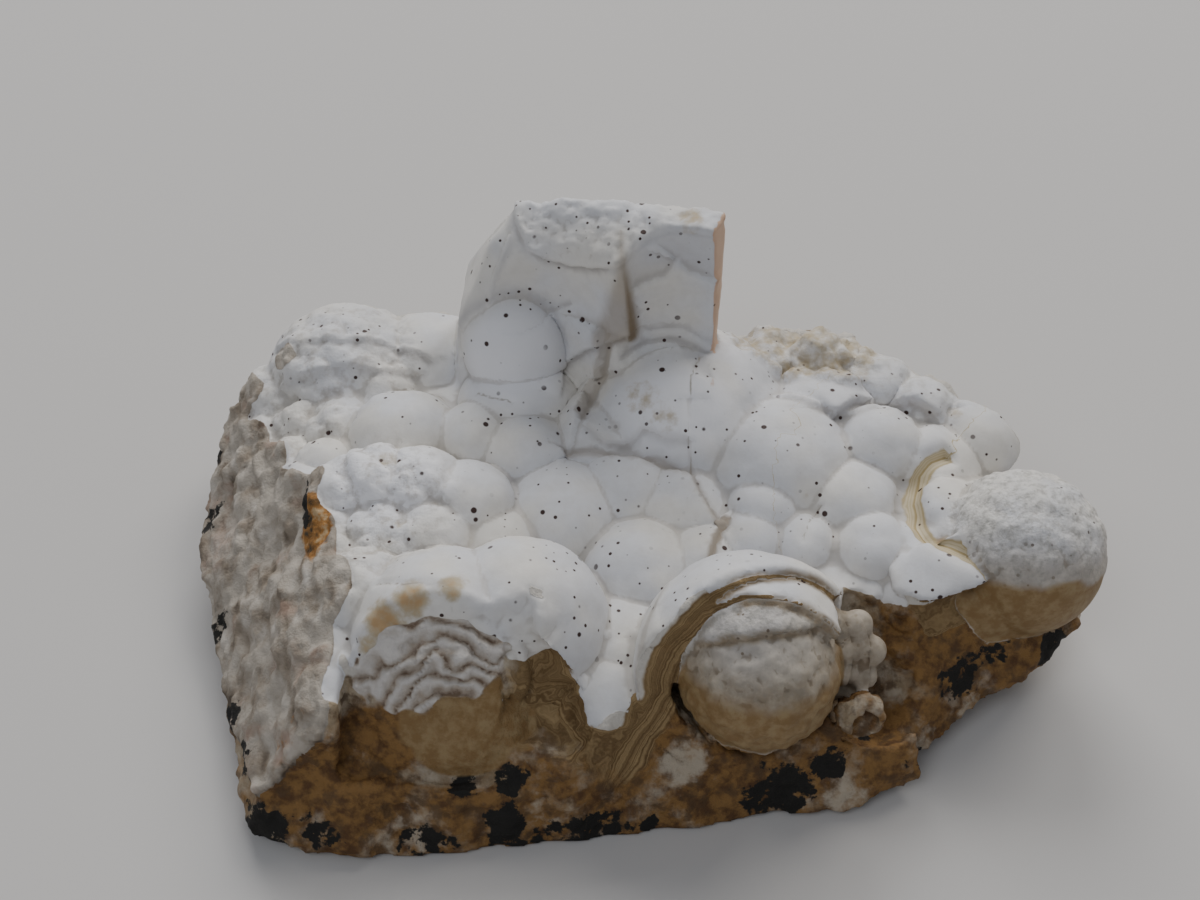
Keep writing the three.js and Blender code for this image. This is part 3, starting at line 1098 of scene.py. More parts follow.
@dataclass(frozen=True)
class Relief:
    """The relief and the marks of the surface.

    The rows of grains hold a zone, how high it is there, the size of its grains, a seed and how
    many sizes of grain it has. The rows of lumps hold a zone, how high it is there, what is taken
    off so that it sinks as much as it rises, the size of its knobs and a seed.
    """

    bed: Bed
    crust: Crust
    fin: Fin
    nest: Nest
    right_end: RightEnd
    breaks: Breaks
    steps: tuple[Line, ...] = (
        Line(((-26.9, 14.2), (-24.8, 12.9), (-21.9, 12.5), (-19.1, 12.9), (-17, 12.5), (-15.6, 11.8)),
             9.5, 15, 0.28, 1.6, 0.1),
        Line(((-25.8, 10.8), (-23.9, 10.5), (-21.4, 10.8), (-18.6, 10.7), (-16.4, 11)),
             8, 15, 0.25, 1.4, 0.05),
        Line(((4.3, -2.6), (3.5, -1.9), (2.8, -0.7), (2.3, 0.8), (0, 1.8), (-2.3, 2.2), (-3.8, 2.6),
              (-6.4, 3)), 9, 14, 0.4, 1.8, 0.35),
        Line(((-4.6, 4.4), (-3.4, 3.2), (-1.5, 3.1), (-0.8, 3.5), (0.5, 2.8), (2.1, 2.6)),
             10, 15.5, 0.28, 1.2, 0.1),
        Line(((-5.0, 5.2), (-4.6, 6.4), (-4.2, 7.6), (-3.5, 8.5), (-2.2, 9.3)),
             11, 17.5, 0.8, 2.4, 0.4),
        Line(((3.2, -5.8), (3.6, -4.2), (4.4, -2.6), (4.6, -2.2)), 8, 13, 0.4, 0.7, 0.7),
        Line(((0.4, -9.8), (-0.3, -11.3), (-1.1, -13.5), (-1.5, -15.4)), 5, 13.5, 0.14, 0.8, 0.3),
        Line(((12.2, 5.6), (13.6, 6.8), (15.4, 7.4), (17.4, 7.3), (19.0, 6.4)), 9, 16, 0.55, 2.0, 0.15),
        Line(((8.6, 6.6), (11, 5.6), (13.4, 5.6), (15, 6.4)), 9, 16, 0.3, 1.6, 0.1),
    )
    cracks: tuple[Line, ...] = (
        Line(((-18, 9.3), (-16.6, 10), (-14.8, 9.3), (-13.6, 8.1)), 9, 14),
        Line(((-12, 7.2), (-11, 6.5), (-9.4, 5.9)), 11, 15),
        Line(((3.1, 8.6), (2.4, 6.6), (2.2, 4.6), (2.15, 2.6), (2.3, 1)), 10, 17),
        Line(((-17.2, -9.8), (-15.4, -10.9), (-13.6, -11)), 11, 16),
        Line(((9.2, -4.4), (9.8, -2.6), (10.6, -1.4)), 9, 14),
    )
    stains: tuple = (
        (-16.4, -12.4, 12.8, 1.2, 1.4), (-14.8, -11.6, 13.9, 1.1, 1.3), (-12.4, -11.2, 14.5, 0.9, 1.1),
        (-17.4, -13.4, 11.6, 0.8, 1.1), (-0.9, 5.4, 14.5, 1.3, 0.75), (0.7, 3.9, 14.1, 1.1, 0.6),
        (-17.4, 0.2, 14.2, 0.8, 0.8), (2.1, 10.4, 25.3, 0.9), (-16.2, -4.2, 12.4, 0.6, 0.7),
        (20.4, 6.6, 12.6, 0.9, 0.8), (9.8, 9.6, 13.2, 1, 0.9), (9.4, -0.6, 11.7, 0.6, 0.5),
    )
    ochres: tuple = (
        (-22, -17.9, 5.2, 4.2), (-18.4, -18.8, 3.6, 3.6, 0.9), (-21.6, -16.4, 8.4, 1.8),
        (-2, -18.6, 1.6, 5, 0.7), (4.4, -17.6, 2.6, 5, 0.9), (13.6, -14.4, 2.2, 4, 0.8),
        (18.8, -10.4, 7.2, 4.2), (23, -8.8, 5.6, 3.4, 0.9), (-21.9, -3.6, 11.7, 2, 1.6, (0.8, 1.8, 1)),
        (6.2, 12.6, 13.4, 2, 0.8), (9, 11.4, 12.6, 1.8, 0.7), (-12, -18.6, 2.2, 3.4, 0.5),
        (15, -10.4, 8.4, 3, 0.8), (-17, -16.8, 7, 2.6), (18.6, -9, 9, 2.4, 0.7), (24.4, -7.6, 6, 2, 0.9),
    )
    soots: tuple = (
        (-12, -18.4, 5.4, 1.2, 1, (0.8, 1, 1.6)), (-9.1, -18.4, 5, 1.2, 1.1),
        (-9.4, -19.4, 1.9, 1.5, 1.1, (0.9, 1, 1.4)), (-0.6, -18.6, 0.6, 0.8), (7.4, -17, 1.9, 2.4),
        (10.4, -16.2, 3.6, 1.3, 1.1), (19.4, -11, 5, 1.8), (21.6, -9.6, 5.9, 1.4),
        (15.4, -14.5, 1.6, 1.6), (25.8, -7.4, 4.3, 1.6), (12.7, -14, 3, 0.7), (-24.2, -19.2, 1.6, 2),
        (-20.6, -19.8, 1.6, 1.6, 0.9), (-14, -20.2, 0.6, 2, 0.8),
        (-4.6, -19.2, 0.8, 2.6, 0.9, (1.6, 1, 0.6)), (-22.8, -1.8, 11.8, 0.9, 1.2, (0.5, 2.4, 1)),
        (-31, 4, 4.6, 1.4, 0.8), (-29, -5, 3.4, 1.2, 0.9), (-27.4, -12, 3, 1.4, 0.9),
        (-31.2, 9, 5.4, 1, 0.9), (-25.8, -15.6, 3.4, 1.3, 0.9), (-19.6, -19, 5.8, 0.8, 0.6),
        (8, 17.4, 3, 3, 0.8), (-16, 19, 3.4, 2.6, 0.8), (21, 10, 5, 2.2, 0.8),
    )
    # pale patches of the matrix; those at the fin's lobe, in front of the fin and on the ridge are painted
    # highlights on the crust
    pales_and_highlights: tuple = (
        (-12, -17.4, 7, 1.8, 0.3, (1.6, 1, 0.8)), (-7, -19, 2.4, 2, 0.55), (1.4, -17, 4.6, 1.8, 0.9),
        (-15, -19.6, 1.4, 2.4, 0.7), (16.8, -13.2, 2.4, 1.6, 0.7), (20.2, -11.2, 2.4, 1.6, 0.7),
        (11.6, -16.8, 1.4, 1.8, 0.8), (13.8, -13.2, 7.2, 1.4, 0.8), (-9.8, 8, 15.6, 3.4),
        (1.4, 4.4, 14.8, 3, 1, (1.4, 1, 1)), (-17.4, -1, 13.4, 3.2, 0.9, (1.3, 1, 1)),
    )
    banded: tuple = (
        (-4.6, -16.8, 8.4, 3), (-1.4, -16.8, 6.6, 3.4), (2, -17, 5, 2.6, 0.8), (-0.8, -14.6, 10, 3.2),
        (1.5, -12.6, 14, 3), (6, -11.5, 15.5, 3.4), (11, -11, 14, 3), (18, -9.4, 8.6, 3, 0.8),
        (18.4, 0.4, 10.5, 3.4, 0.7), (-7.2, -15.4, 9.8, 2.6), (-8.4, -15.6, 7.6, 2.2, 0.9),
        (-6.2, -14.6, 10.4, 2.4, 1.6), (-5.4, -15.6, 8.4, 2.4, 1.6),
    )
    grains: tuple = (
        ("white", 0.03, 1.1, 2, 2), ("craggy", 0.4, 1.9, 5, 3), ("gritty", 0.14, 0.5, 22, 3),
        ("gritty", 0.18, 2, 23, 2), ("cap", 0.08, 0.6, 14, 2), ("ball", 0.18, 0.8, 15, 3),
        ("pitted", 0.16, 1, 16, 3), ("bare", 0.1, 0.7, 32, 2), ("rough", 0.32, 2.4, 6, 3),
        ("rough", 0.17, 0.8, 7, 2), ("streak", 0.3, (1.6, 5, 2.2), 9, 2),
        ("streak", 0.2, (0.7, 2, 1), 10, 2), ("streak", 0.24, 1.1, 17, 3), ("flake", 0.36, 0.9, 12, 3),
    )
    lumps: tuple = (
        ("calm", 0.24, 0.6, 3.1, 1), ("knobbly", 0.32, 0.5, 1.6, 3), ("knobbly", 0.2, 0.5, 0.8, 4),
        ("cap", 0.14, 0.4, 0.9, 13), ("ball", 0.14, 0.5, 0.9, 30), ("pitted", 0.2, 0.6, 1.5, 26),
        ("bare", 0.3, 0.5, 1.9, 31), ("streak", 0.22, 0.5, 1, 33),
    )
    low_ground: Span = (9.4, 6.2)
    tongue: Spot = Spot((-3.2, -13.4, 8.4), 2.6, 1.4)
    tongue_lift: float = 0.7
    corner: Spot = Spot((-20.8, -18, 8.6), 2, 1.4)
    corner_drop: float = 3
    sheet_skin: float = 4.4
    low_skin: float = 1.2
    crack_depth: float = 0.1
    band_height: float = 0.13
    band_gap: float = 0.55
    ledge_height: float = 0.5
    ledge_gap: float = 0.85
    ledge_middle: tuple[float, float] = (-12.8, 7.6)
    ledge_stretch: float = 0.75

    def skin(self, points: Values) -> Values:
        """Gives how deep places are under the crust's first skin."""
        parts = [*self.crust.domes(), self.nest.shell(), *self.bed.blocks()[1:]]
        return most(*(part.depth(points) for part in parts))

    def settled(self, at: Surface) -> Surface:
        """Moves the skin onto the true rounds of the domes and balls, so that creases are crisp.

        Args:
            at: the surface.

        Returns:
            The surface as it is now.
        """
        nest, end = self.nest, self.right_end
        rounds = [*self.crust.domes(), nest.shell(), nest.layer, nest.cap, nest.ball, end.ball, end.cheek,
                  end.foot, self.fin.lobe, self.crust.flaked_core]
        points = at.points
        faces = [*self.breaks.all(), nest.cap_break, nest.layer_break, nest.outer_break]
        cuts = least(*(face.behind(points) for face in faces))
        off = np.abs([part.outside(points) for part in rounds])
        nearest = np.argmin(off, axis=0)
        moves = np.zeros(points.shape)
        for i, part in enumerate(rounds):
            mine = nearest == i
            moves[mine] = part.settled(points[mine]) - points[mine]
        share = smooth(0.4, 0.25, np.min(off, axis=0)) * smooth(0.15, 0.35, cuts)
        return at.placed(points + moves * share[:, None])

    def dress(self, mesh: bpy.types.Mesh) -> None:
        """Moves the skin of the stone by its relief and keeps its marks.

        Args:
            mesh: the stone's mesh, in millimetres.
        """
        at = self.settled(Surface(mesh))
        zones = self.zones(at)
        heights = self.heights(at, zones) * smooth(0.05, 0.9, at.points[:, 2])
        self.keep(at.placed(at.points + at.normals * heights[:, None]), at.points, zones)

    def zones(self, at: Surface) -> dict[str, Values]:
        """Gives where each kind of surface is.

        Args:
            at: the surface.

        Returns:
            The kinds' names and how far each place belongs to them, from 0 to 1.
        """
        p, faces = at.points, self.breaks
        behind = {face: face.behind(p) for face in faces.all()}
        knobbly, rugged = self.crust.knobbly(p)
        zones = {**self.nest.rounds(p), **self.right_end.rounds(p)}
        ungrown = 1 - most(*(zones[name] for name in ("ball", "cap", "right", "cheek")))
        zones |= self.crust.flaked(p, behind[faces.flaked])
        zones |= {"fin": self.fin.body(p), "gritty": self.fin.roughness(p), "rugged": rugged}
        whole = 1 - np.maximum(self.nest.bare_layer(at), self.right_end.rim_top(at))
        skin = self.skin(p) * whole
        sheet = faces.under_sheet(p)
        overhung = smooth(0.1, -0.5, at.normals[:, 2]) * (1 - zones["fin"])
        lift = self.tongue_lift * self.tongue.over(p)
        low = smooth(*self.low_ground, p[:, 2] + lift - self.corner_drop * self.corner.over(p))
        low = most(low, overhung, sheet, self.right_end.under_rim(p))
        broken = smooth(0.45, 0.2, least(*behind.values())) * whole
        broken = np.maximum(broken, smooth(0.35, 0.6, skin) * (1 - zones["fin"]))
        zones["skin"] = most(skin, self.sheet_skin * sheet, self.low_skin * smooth(0.45, 0.65, low))
        left = ungrown * (1 - zones["bare"])
        broken, low = broken * left, low * left
        zones["white"] = (1 - most(broken, low, zones["core"])) * ungrown
        zones["low"] = low
        zones["broken"] = np.maximum(broken, low) * (1 - zones["nodules"])
        zones["knobbly"] = knobbly * (1 - smooth(0.5, 0.2, behind[faces.front])) * ungrown
        zones["streak"] = smooth(0.6, 0.2, behind[faces.left]) * (1 - zones["flake"])
        zones["front"] = smooth(0.8, 0.3, np.minimum(behind[faces.front], behind[faces.right_front]))
        zones["calm"] = zones["white"] * (1 - zones["knobbly"]) * (1 - zones["fin"])
        zones["craggy"] = zones["knobbly"] * (0.625 + rugged)
        zones["pitted"] = zones["right"] * (1 - self.right_end.lower(p))
        firm = (1 - zones["core"] * 0.9) * (1 - zones["streak"]) * (1 - zones["flake"])
        zones["rough"] = zones["broken"] * firm
        return zones

    def heights(self, at: Surface, zones: dict[str, Values]) -> Values:
        """Gives the relief.

        Args:
            at: the surface.
            zones: where each kind of surface is.

        Returns:
            How far each vertex moves out, in millimetres.
        """
        p, end, skin = at.points, self.right_end, zones["skin"]
        heights = np.zeros(len(p))
        for zone, high, size, seed, octaves in self.grains:
            heights += zones[zone] * high * grain(p, size, seed, octaves)
        for zone, high, middle, size, seed in self.lumps:
            heights += zones[zone] * high * (knobs(p, size, seed) - middle)
        steps = -self.crack_depth * smooth(0.35, 0.08, self.crack(p))
        for line in [*self.steps, *self.fin.lines()]:
            across = line.across(p)
            near = np.abs(across)
            side = np.where(across > 0, 1.0, -0.2) * smooth(0, 0.2, near)
            steps += line.rise * side * np.exp(-near / line.fade)
        heights += (1 - zones["broken"]) * steps
        under_skin = smooth(0.3, 0.6, skin) * smooth(5.5, 3.5, skin)
        bands = saw(skin / self.band_gap + 0.5 * grain(p, 2.5, 8)) - 0.5
        heights += zones["rough"] * under_skin * self.band_height * bands
        ledge_wear_and_shade = np.clip(0.45 + 1.1 * grain(p, 2.2, 28, 2), 0.05, 1)
        heights += zones["flake"] * self.ledge_height * ledge_wear_and_shade * (self.layers(p) - 0.5)
        return heights - end.deep * bell(end.groove.across(p), end.wide) * (1 - zones["right"])

    def layers(self, points: Values) -> Values:
        """Gives the ledges of the flaked dome.

        Args:
            points: the places.

        Returns:
            Values from 0 at the foot of a ledge to 1 at its edge.
        """
        aside, above = (points[:, ::2] - np.array(self.ledge_middle)).T
        warp = 1.0 * grain(points, 3.4, 11, 2) + 0.55 * grain(points, 1.3, 18, 2)
        return saw(np.hypot(self.ledge_stretch * aside, above) / self.ledge_gap + warp, 0.72)

    def crack(self, points: Values) -> Values:
        """Gives how far places are from the nearest crack."""
        return least(*(np.abs(line.across(points)) for line in self.cracks))

    def shade(self, points: Values) -> Values:
        """Gives how dark the foot of each step is, from 0 to 1."""
        return np.clip(most(*(2 * line.rise * line.foot(points, 0.22) for line in self.steps)), 0, 0.8)

    def keep(self, at: Surface, points: Values, zones: dict[str, Values]) -> None:
        """Keeps the marks that the finish reads.

        Args:
            at: the surface, moved.
            points: where its vertices were before.
            zones: where each kind of surface is.
        """
        _, y, z = points.T
        fin, nest, end, ball, right = self.fin, self.nest, self.right_end, zones["ball"], zones["right"]
        dull = 0.7 * right * smooth(5.0, 0.5, end.above(points))
        beige = most(ball * (0.65 + 0.35 * smooth(*nest.beige_top, z)), dull, 0.95 * zones["nodules"],
                     0.5 * zones["cap"])
        tan = ball * smooth(*nest.tan_top, z) + right * end.lower(points)
        low_cheek = np.maximum(smooth(*end.cheek_tan_top, z), smooth(*end.cheek_tan_front, y))
        tan += zones["cheek"] * low_cheek
        fine, broad = at.hollow(3) / 0.04, at.hollow(22) / 0.3
        seam = smooth(0.62, 0.3, nest.seams(points) + 0.2 * grain(points, 1.0, 34, 2))
        edges = [line.brown * smooth(0.36, 0.2, np.abs(line.across(points))) for line in self.steps]
        # the wedge's brown carries painted shade on its right side
        edges += [fin.brown(points), seam * smooth(*nest.seams_low, z)]
        streaks = 0.48 + 0.44 * grain(points, (0.9, 2.2, 1.4), 20, 4)
        marks = {
            Mark.SKIN: zones["skin"],
            Mark.BROKEN: most(zones["broken"], zones["core"], zones["flake"]),
            Mark.BALL: most(zones["cap"], ball * 0.4, zones["pitted"]),
            Mark.BEIGE: beige,
            Mark.TAN: np.clip(tan + 0.9 * zones["core"], 0, 1),
            Mark.FLAKE: zones["flake"],
            Mark.LAYERS: self.layers(points),
            Mark.KNOBBLY: zones["knobbly"],
            # how deep each vertex lies in a crease or hollow, which the finish darkens as painted shade
            Mark.CREASE: 0.5 * np.clip(fine, -1, 1) + 0.5 * np.clip(broad, -1, 1),
            Mark.CRACK: self.crack(points),
            Mark.GROOVE: end.groove.across(points) + 5 * right,
            Mark.EDGE: most(*edges) * (1 - zones["broken"]),
            Mark.SLIVER: fin.sliver(points, at.normals),
            Mark.SHADE: fin.shade(points) * zones["fin"] + 0.6 * self.shade(points) * (1 - zones["fin"]),
            Mark.STAIN: np.maximum(patched(self.stains, points), 0.75 * zones["rugged"]),
            Mark.SOOT: patched(self.soots, points),
            Mark.PALE_AND_HIGHLIGHT: patched(self.pales_and_highlights, points),
            Mark.BANDED: patched(self.banded, points),
            Mark.OCHRE: most(patched(self.ochres, points), 0.7 * zones["front"], 0.45 * zones["low"]),
            Mark.STREAK: zones["streak"] * np.clip(streaks, 0.02, 1),
        }
        for name, values in marks.items():
            at.mark(name, values)


# ---------------------------------------------------------------- finish


class Value:
    """A socket's output, with the operators of arithmetic."""

    def __init__(self, graph: "Graph", socket: bpy.types.NodeSocket) -> None:
        """Wraps an output of one of the graph's nodes."""
        self.graph = graph
        self.socket = socket

    def math(self, operation: str, *others: Any) -> "Value":
        """Adds a Math node for this value and the others, and gives its result."""
        return self.graph.add("ShaderNodeMath", {"operation": operation}, [self, *others])

    def __add__(self, other: Any) -> "Value":
        """Adds."""
        return self.math("ADD", other)

    def __sub__(self, other: Any) -> "Value":
        """Takes away."""
        return self.math("SUBTRACT", other)

    def __mul__(self, other: Any) -> "Value":
        """Multiplies."""
        return self.math("MULTIPLY", other)

    def __rsub__(self, other: float) -> "Value":
        """Takes this from a number."""
        return (self * -1.0) + other

    __radd__ = __add__
    __rmul__ = __mul__

    def step(self, low: float, high: float) -> "Value":
        """Gives a soft step.

        Args:
            low: where it is 0.
            high: where it is 1; less than low for a step down.

        Returns:
            The step, from 0 to 1.
        """
        ends = [self, min(low, high), max(low, high), float(low > high), float(low < high)]
        settings = {"interpolation_type": "SMOOTHSTEP"}
        return self.graph.add("ShaderNodeMapRange", settings, ends)


class Graph:
    """The nodes of one material."""

    def __init__(self, name: str) -> None:
        """Makes the material.

        Args:
            name: the material's name.
        """
        self.material = bpy.data.materials.new(name)
        self.material.use_nodes = True
        self.tree = self.material.node_tree
        self.shader = self.tree.nodes["Principled BSDF"]
        place = self.add("ShaderNodeTexCoord", {}, [], "Object")
        self.place = self.add("ShaderNodeVectorMath", {"operation": "SCALE"}, {0: place, "Scale": 1 / MM})

    def add(self, kind: str, settings: dict, values: Any, output: Any = 0) -> Value:
        """Adds a node.

        Args:
            kind: the node's type.
            settings: its settings, set first; "stops" are a ramp's.
            values: what goes to its inputs, in order or by name.
            output: which output is wanted.

        Returns:
            The output.
        """
        node = self.tree.nodes.new(kind)
        for name, setting in settings.items():
            if name == "stops":
                self.stops(node.color_ramp, setting)
            else:
                setattr(node, name, setting)
        pairs = values.items() if isinstance(values, dict) else enumerate(values)
        for name, value in pairs:
            self.feed(node.inputs[name], value)
        return Value(self, node.outputs[output])

    def feed(self, socket: bpy.types.NodeSocket, value: Any) -> None:
        """Gives a socket a value or a link.

        Args:
            socket: the input.
            value: a Value, a number, a colour or a vector.
        """
        if isinstance(value, Value):
            self.tree.links.new(value.socket, socket)
        elif isinstance(value, tuple) and len(value) == 3 and socket.type == "RGBA":
            socket.default_value = (*value, 1.0)
        else:
            socket.default_value = value

    def stops(self, ramp: bpy.types.ColorRamp, stops: Stops) -> None:
        """Sets a ramp's stops.

        Args:
            ramp: the ramp.
            stops: the place and the colour of each.
        """
        while len(ramp.elements) < len(stops):
            ramp.elements.new(1.0)
        for element, (place, colour) in zip(ramp.elements, stops):
            element.position = place
            element.color = (*colour, 1.0)

    def mark(self, name: Mark) -> Value:
        """Gives a field kept on the mesh."""
        return self.add("ShaderNodeAttribute", {"attribute_name": name.value}, [], "Fac")

    def noise(self, size: float, detail: float = 2.0, seed: float = 0.0) -> Value:
        """Gives smooth noise.

        Args:
            size: its grain in millimetres.
            detail: how many finer grains it has.
            seed: which noise it is.

        Returns:
            Values from 0 to 1.
        """
        place = self.add("ShaderNodeVectorMath", {"operation": "ADD"}, [self.place, (seed, seed, -seed)])
        inputs = {"Vector": place, "Scale": 1 / size, "Detail": detail, "Roughness": 0.6}
        return self.add("ShaderNodeTexNoise", {}, inputs, "Fac")

    def specks(self, gap: float, size: float, share: float, seed: float) -> Value:
        """Gives small round specks.

        Args:
            gap: about how far apart they are, in millimetres.
            size: how wide they are, in millimetres.
            share: how many of the possible places have one.
            seed: which specks they are.

        Returns:
            Values of 1 on a speck and 0 off it.
        """
        place = self.add("ShaderNodeVectorMath", {"operation": "ADD"}, [self.place, (seed, -seed, seed)])
        inputs = {"Vector": place, "Scale": 1 / gap}
        near = self.add("ShaderNodeTexVoronoi", {}, inputs, "Distance")
        which = self.add("ShaderNodeTexVoronoi", {}, inputs, "Color")
        chance = self.add("ShaderNodeSeparateColor", {}, [which], "Red")
        width = self.add("ShaderNodeSeparateColor", {}, [which], "Green") * 0.7 + 0.5
        radius = width * (0.5 * size / gap)
        inside = (near - radius).step(0.12 * size / gap, -0.12 * size / gap)
        return inside * chance.step(1 - share - 0.01, 1 - share + 0.01)

    def ragged(self, name: Mark, by: float, size: float, detail: float, seed: float) -> Value:
        """Gives a field kept on the mesh with noise added, so that its edges are ragged."""
        return self.mark(name) + (self.noise(size, detail, seed) - 0.5) * by

    def bands(self, across: Value, detail: float, rough: float) -> Value:
        """Gives smooth noise that follows one value alone, so that it makes bands."""
        inputs = {"W": across, "Scale": 1.0, "Detail": detail, "Roughness": rough}
        return self.add("ShaderNodeTexNoise", {"noise_dimensions": "1D"}, inputs, "Fac")

    def blend(self, factor: Value, under: Any, over: Any) -> Value:
        """Mixes two colours, with the factor as the share of the one on top."""
        settings = {"data_type": "RGBA", "clamp_factor": True}
        return self.add("ShaderNodeMix", settings, {0: factor, 6: under, 7: over}, 2)

    def coats(self, colour: Value, coats: list[tuple[Value, Any]]) -> Value:
        """Lays one coat after another over a colour.

        Args:
            colour: what is under them.
            coats: how much there is of each coat, and its colour.

        Returns:
            The colour.
        """
        for factor, over in coats:
            colour = self.blend(factor, colour, over)
        return colour

    def ramp(self, value: Value, stops: Stops) -> Value:
        """Gives a colour for each value."""
        return self.add("ShaderNodeValToRGB", {"stops": stops}, [value], "Color")


@dataclass(frozen=True)
class CrustFinish:
    """The porcelain-like white crust, its specks, its stains and its porous balls."""

    cool: Point = (0.70, 0.71, 0.74)
    warm: Point = (0.76, 0.74, 0.70)
    painted_highlight: Point = (0.88, 0.885, 0.92)
    # grime, the cracks and the painted shade in creases share this colour
    grime_and_shade: Point = (0.36, 0.32, 0.27)
    speck: Point = (0.045, 0.022, 0.018)
    stain: Point = (0.44, 0.35, 0.20)
    orange: Point = (0.50, 0.29, 0.11)
    tan: Point = (0.25, 0.155, 0.064)
    edge: Point = (0.26, 0.195, 0.12)
    shade: Point = (0.33, 0.325, 0.345)
    sliver: Point = (0.66, 0.45, 0.32)
    dark_lamina: Point = (0.40, 0.31, 0.15)
    pale_lamina: Point = (0.62, 0.54, 0.38)
    dark_beige: Point = (0.27, 0.215, 0.145)
    pale_beige: Point = (0.47, 0.405, 0.315)
    # the colour of the painted shade in creases on the balls and nodules
    between: Point = (0.15, 0.105, 0.06)
    pit: Point = (0.30, 0.29, 0.26)
    pale_tan: Point = (0.34, 0.245, 0.125)

    def colour(self, graph: Graph) -> Value:
        """Gives the colour of the crust.

        Args:
            graph: the material's nodes.

        Returns:
            The colour.
        """
        stain = graph.ragged(Mark.STAIN, 1.6, 0.9, 3, 13)
        crack = graph.mark(Mark.CRACK).math("ABSOLUTE") + graph.noise(0.6, 2, 4) * 0.12
        across = graph.mark(Mark.GROOVE)
        fine = graph.bands(across * 5.0, 2.0, 0.5).step(0.35, 0.6)
        near = across.math("ABSOLUTE") + (graph.noise(1.0, 2, 6) - 0.5) * 0.3
        dense = graph.noise(5, 1, 21).step(0.34, 0.5) * 0.85 + 0.15
        specks = graph.specks(1.3, 0.34, 0.6, 2).math("MAXIMUM", graph.specks(0.65, 0.22, 0.42, 5))
        rough = graph.mark(Mark.KNOBBLY) * graph.noise(0.9, 3, 8).step(0.48, 0.72)
        return graph.coats(graph.blend(graph.noise(7, 2, 3).step(0.38, 0.62), self.cool, self.warm), [
            (graph.noise(0.7, 3, 5).step(0.35, 0.7) * 0.10, self.grime_and_shade),
            # painted highlight: the crust is brighter where the pale patches lie
            (graph.mark(Mark.PALE_AND_HIGHLIGHT).step(0.1, 0.9), self.painted_highlight),
            # painted shade: darker in creases and hollows
            (graph.mark(Mark.CREASE).step(0.1, 0.9) * 0.45, self.grime_and_shade),
            (rough * 0.6, self.grime_and_shade),
            (stain.step(0.35, 1.1) * 0.8, self.stain),
            (stain.step(0.95, 1.5) * 0.7, self.orange),
            (graph.mark(Mark.SHADE) * 0.75, self.shade),
            (graph.mark(Mark.SLIVER).step(0.3, 0.6), self.sliver),
            (graph.mark(Mark.EDGE), self.edge),
            (crack.step(0.16, 0.09) * 0.8, self.grime_and_shade),
            (near.step(0.66, 0.5), graph.blend(fine, self.dark_lamina, self.pale_lamina)),
            (specks * dense, self.speck),
        ])

    def ball(self, graph: Graph, colour: Value) -> Value:
        """Gives the colour with the porous balls and the nodules.

        Args:
            graph: the material's nodes.
            colour: the crust's colour.

        Returns:
            The colour.
        """
        beige = graph.mark(Mark.BEIGE)
        mottled = graph.blend(graph.noise(1.2, 4, 18).step(0.3, 0.7), self.dark_beige, self.pale_beige)
        # painted shade: darker brown in the creases of the balls and between the nodules
        between = graph.mark(Mark.CREASE).step(0.15, 0.7) * beige
        colour = graph.coats(colour, [(beige * 0.95, mottled), (between * 0.65, self.between)])
        porous = graph.blend(graph.noise(0.42, 4, 17).step(0.42, 0.7) * 0.6, colour, self.pit)
        return graph.blend(graph.mark(Mark.BALL), colour, porous)

    def smooth_tan(self, graph: Graph, colour: Value) -> Value:
        """Gives the colour with the smooth tan lower halves of the balls."""
        patchy = graph.blend(graph.noise(0.8, 3, 23).step(0.35, 0.7), self.tan, self.pale_tan)
        return graph.blend(graph.ragged(Mark.TAN, 0.5, 1.6, 3, 19).step(0.2, 0.8), colour, patchy)


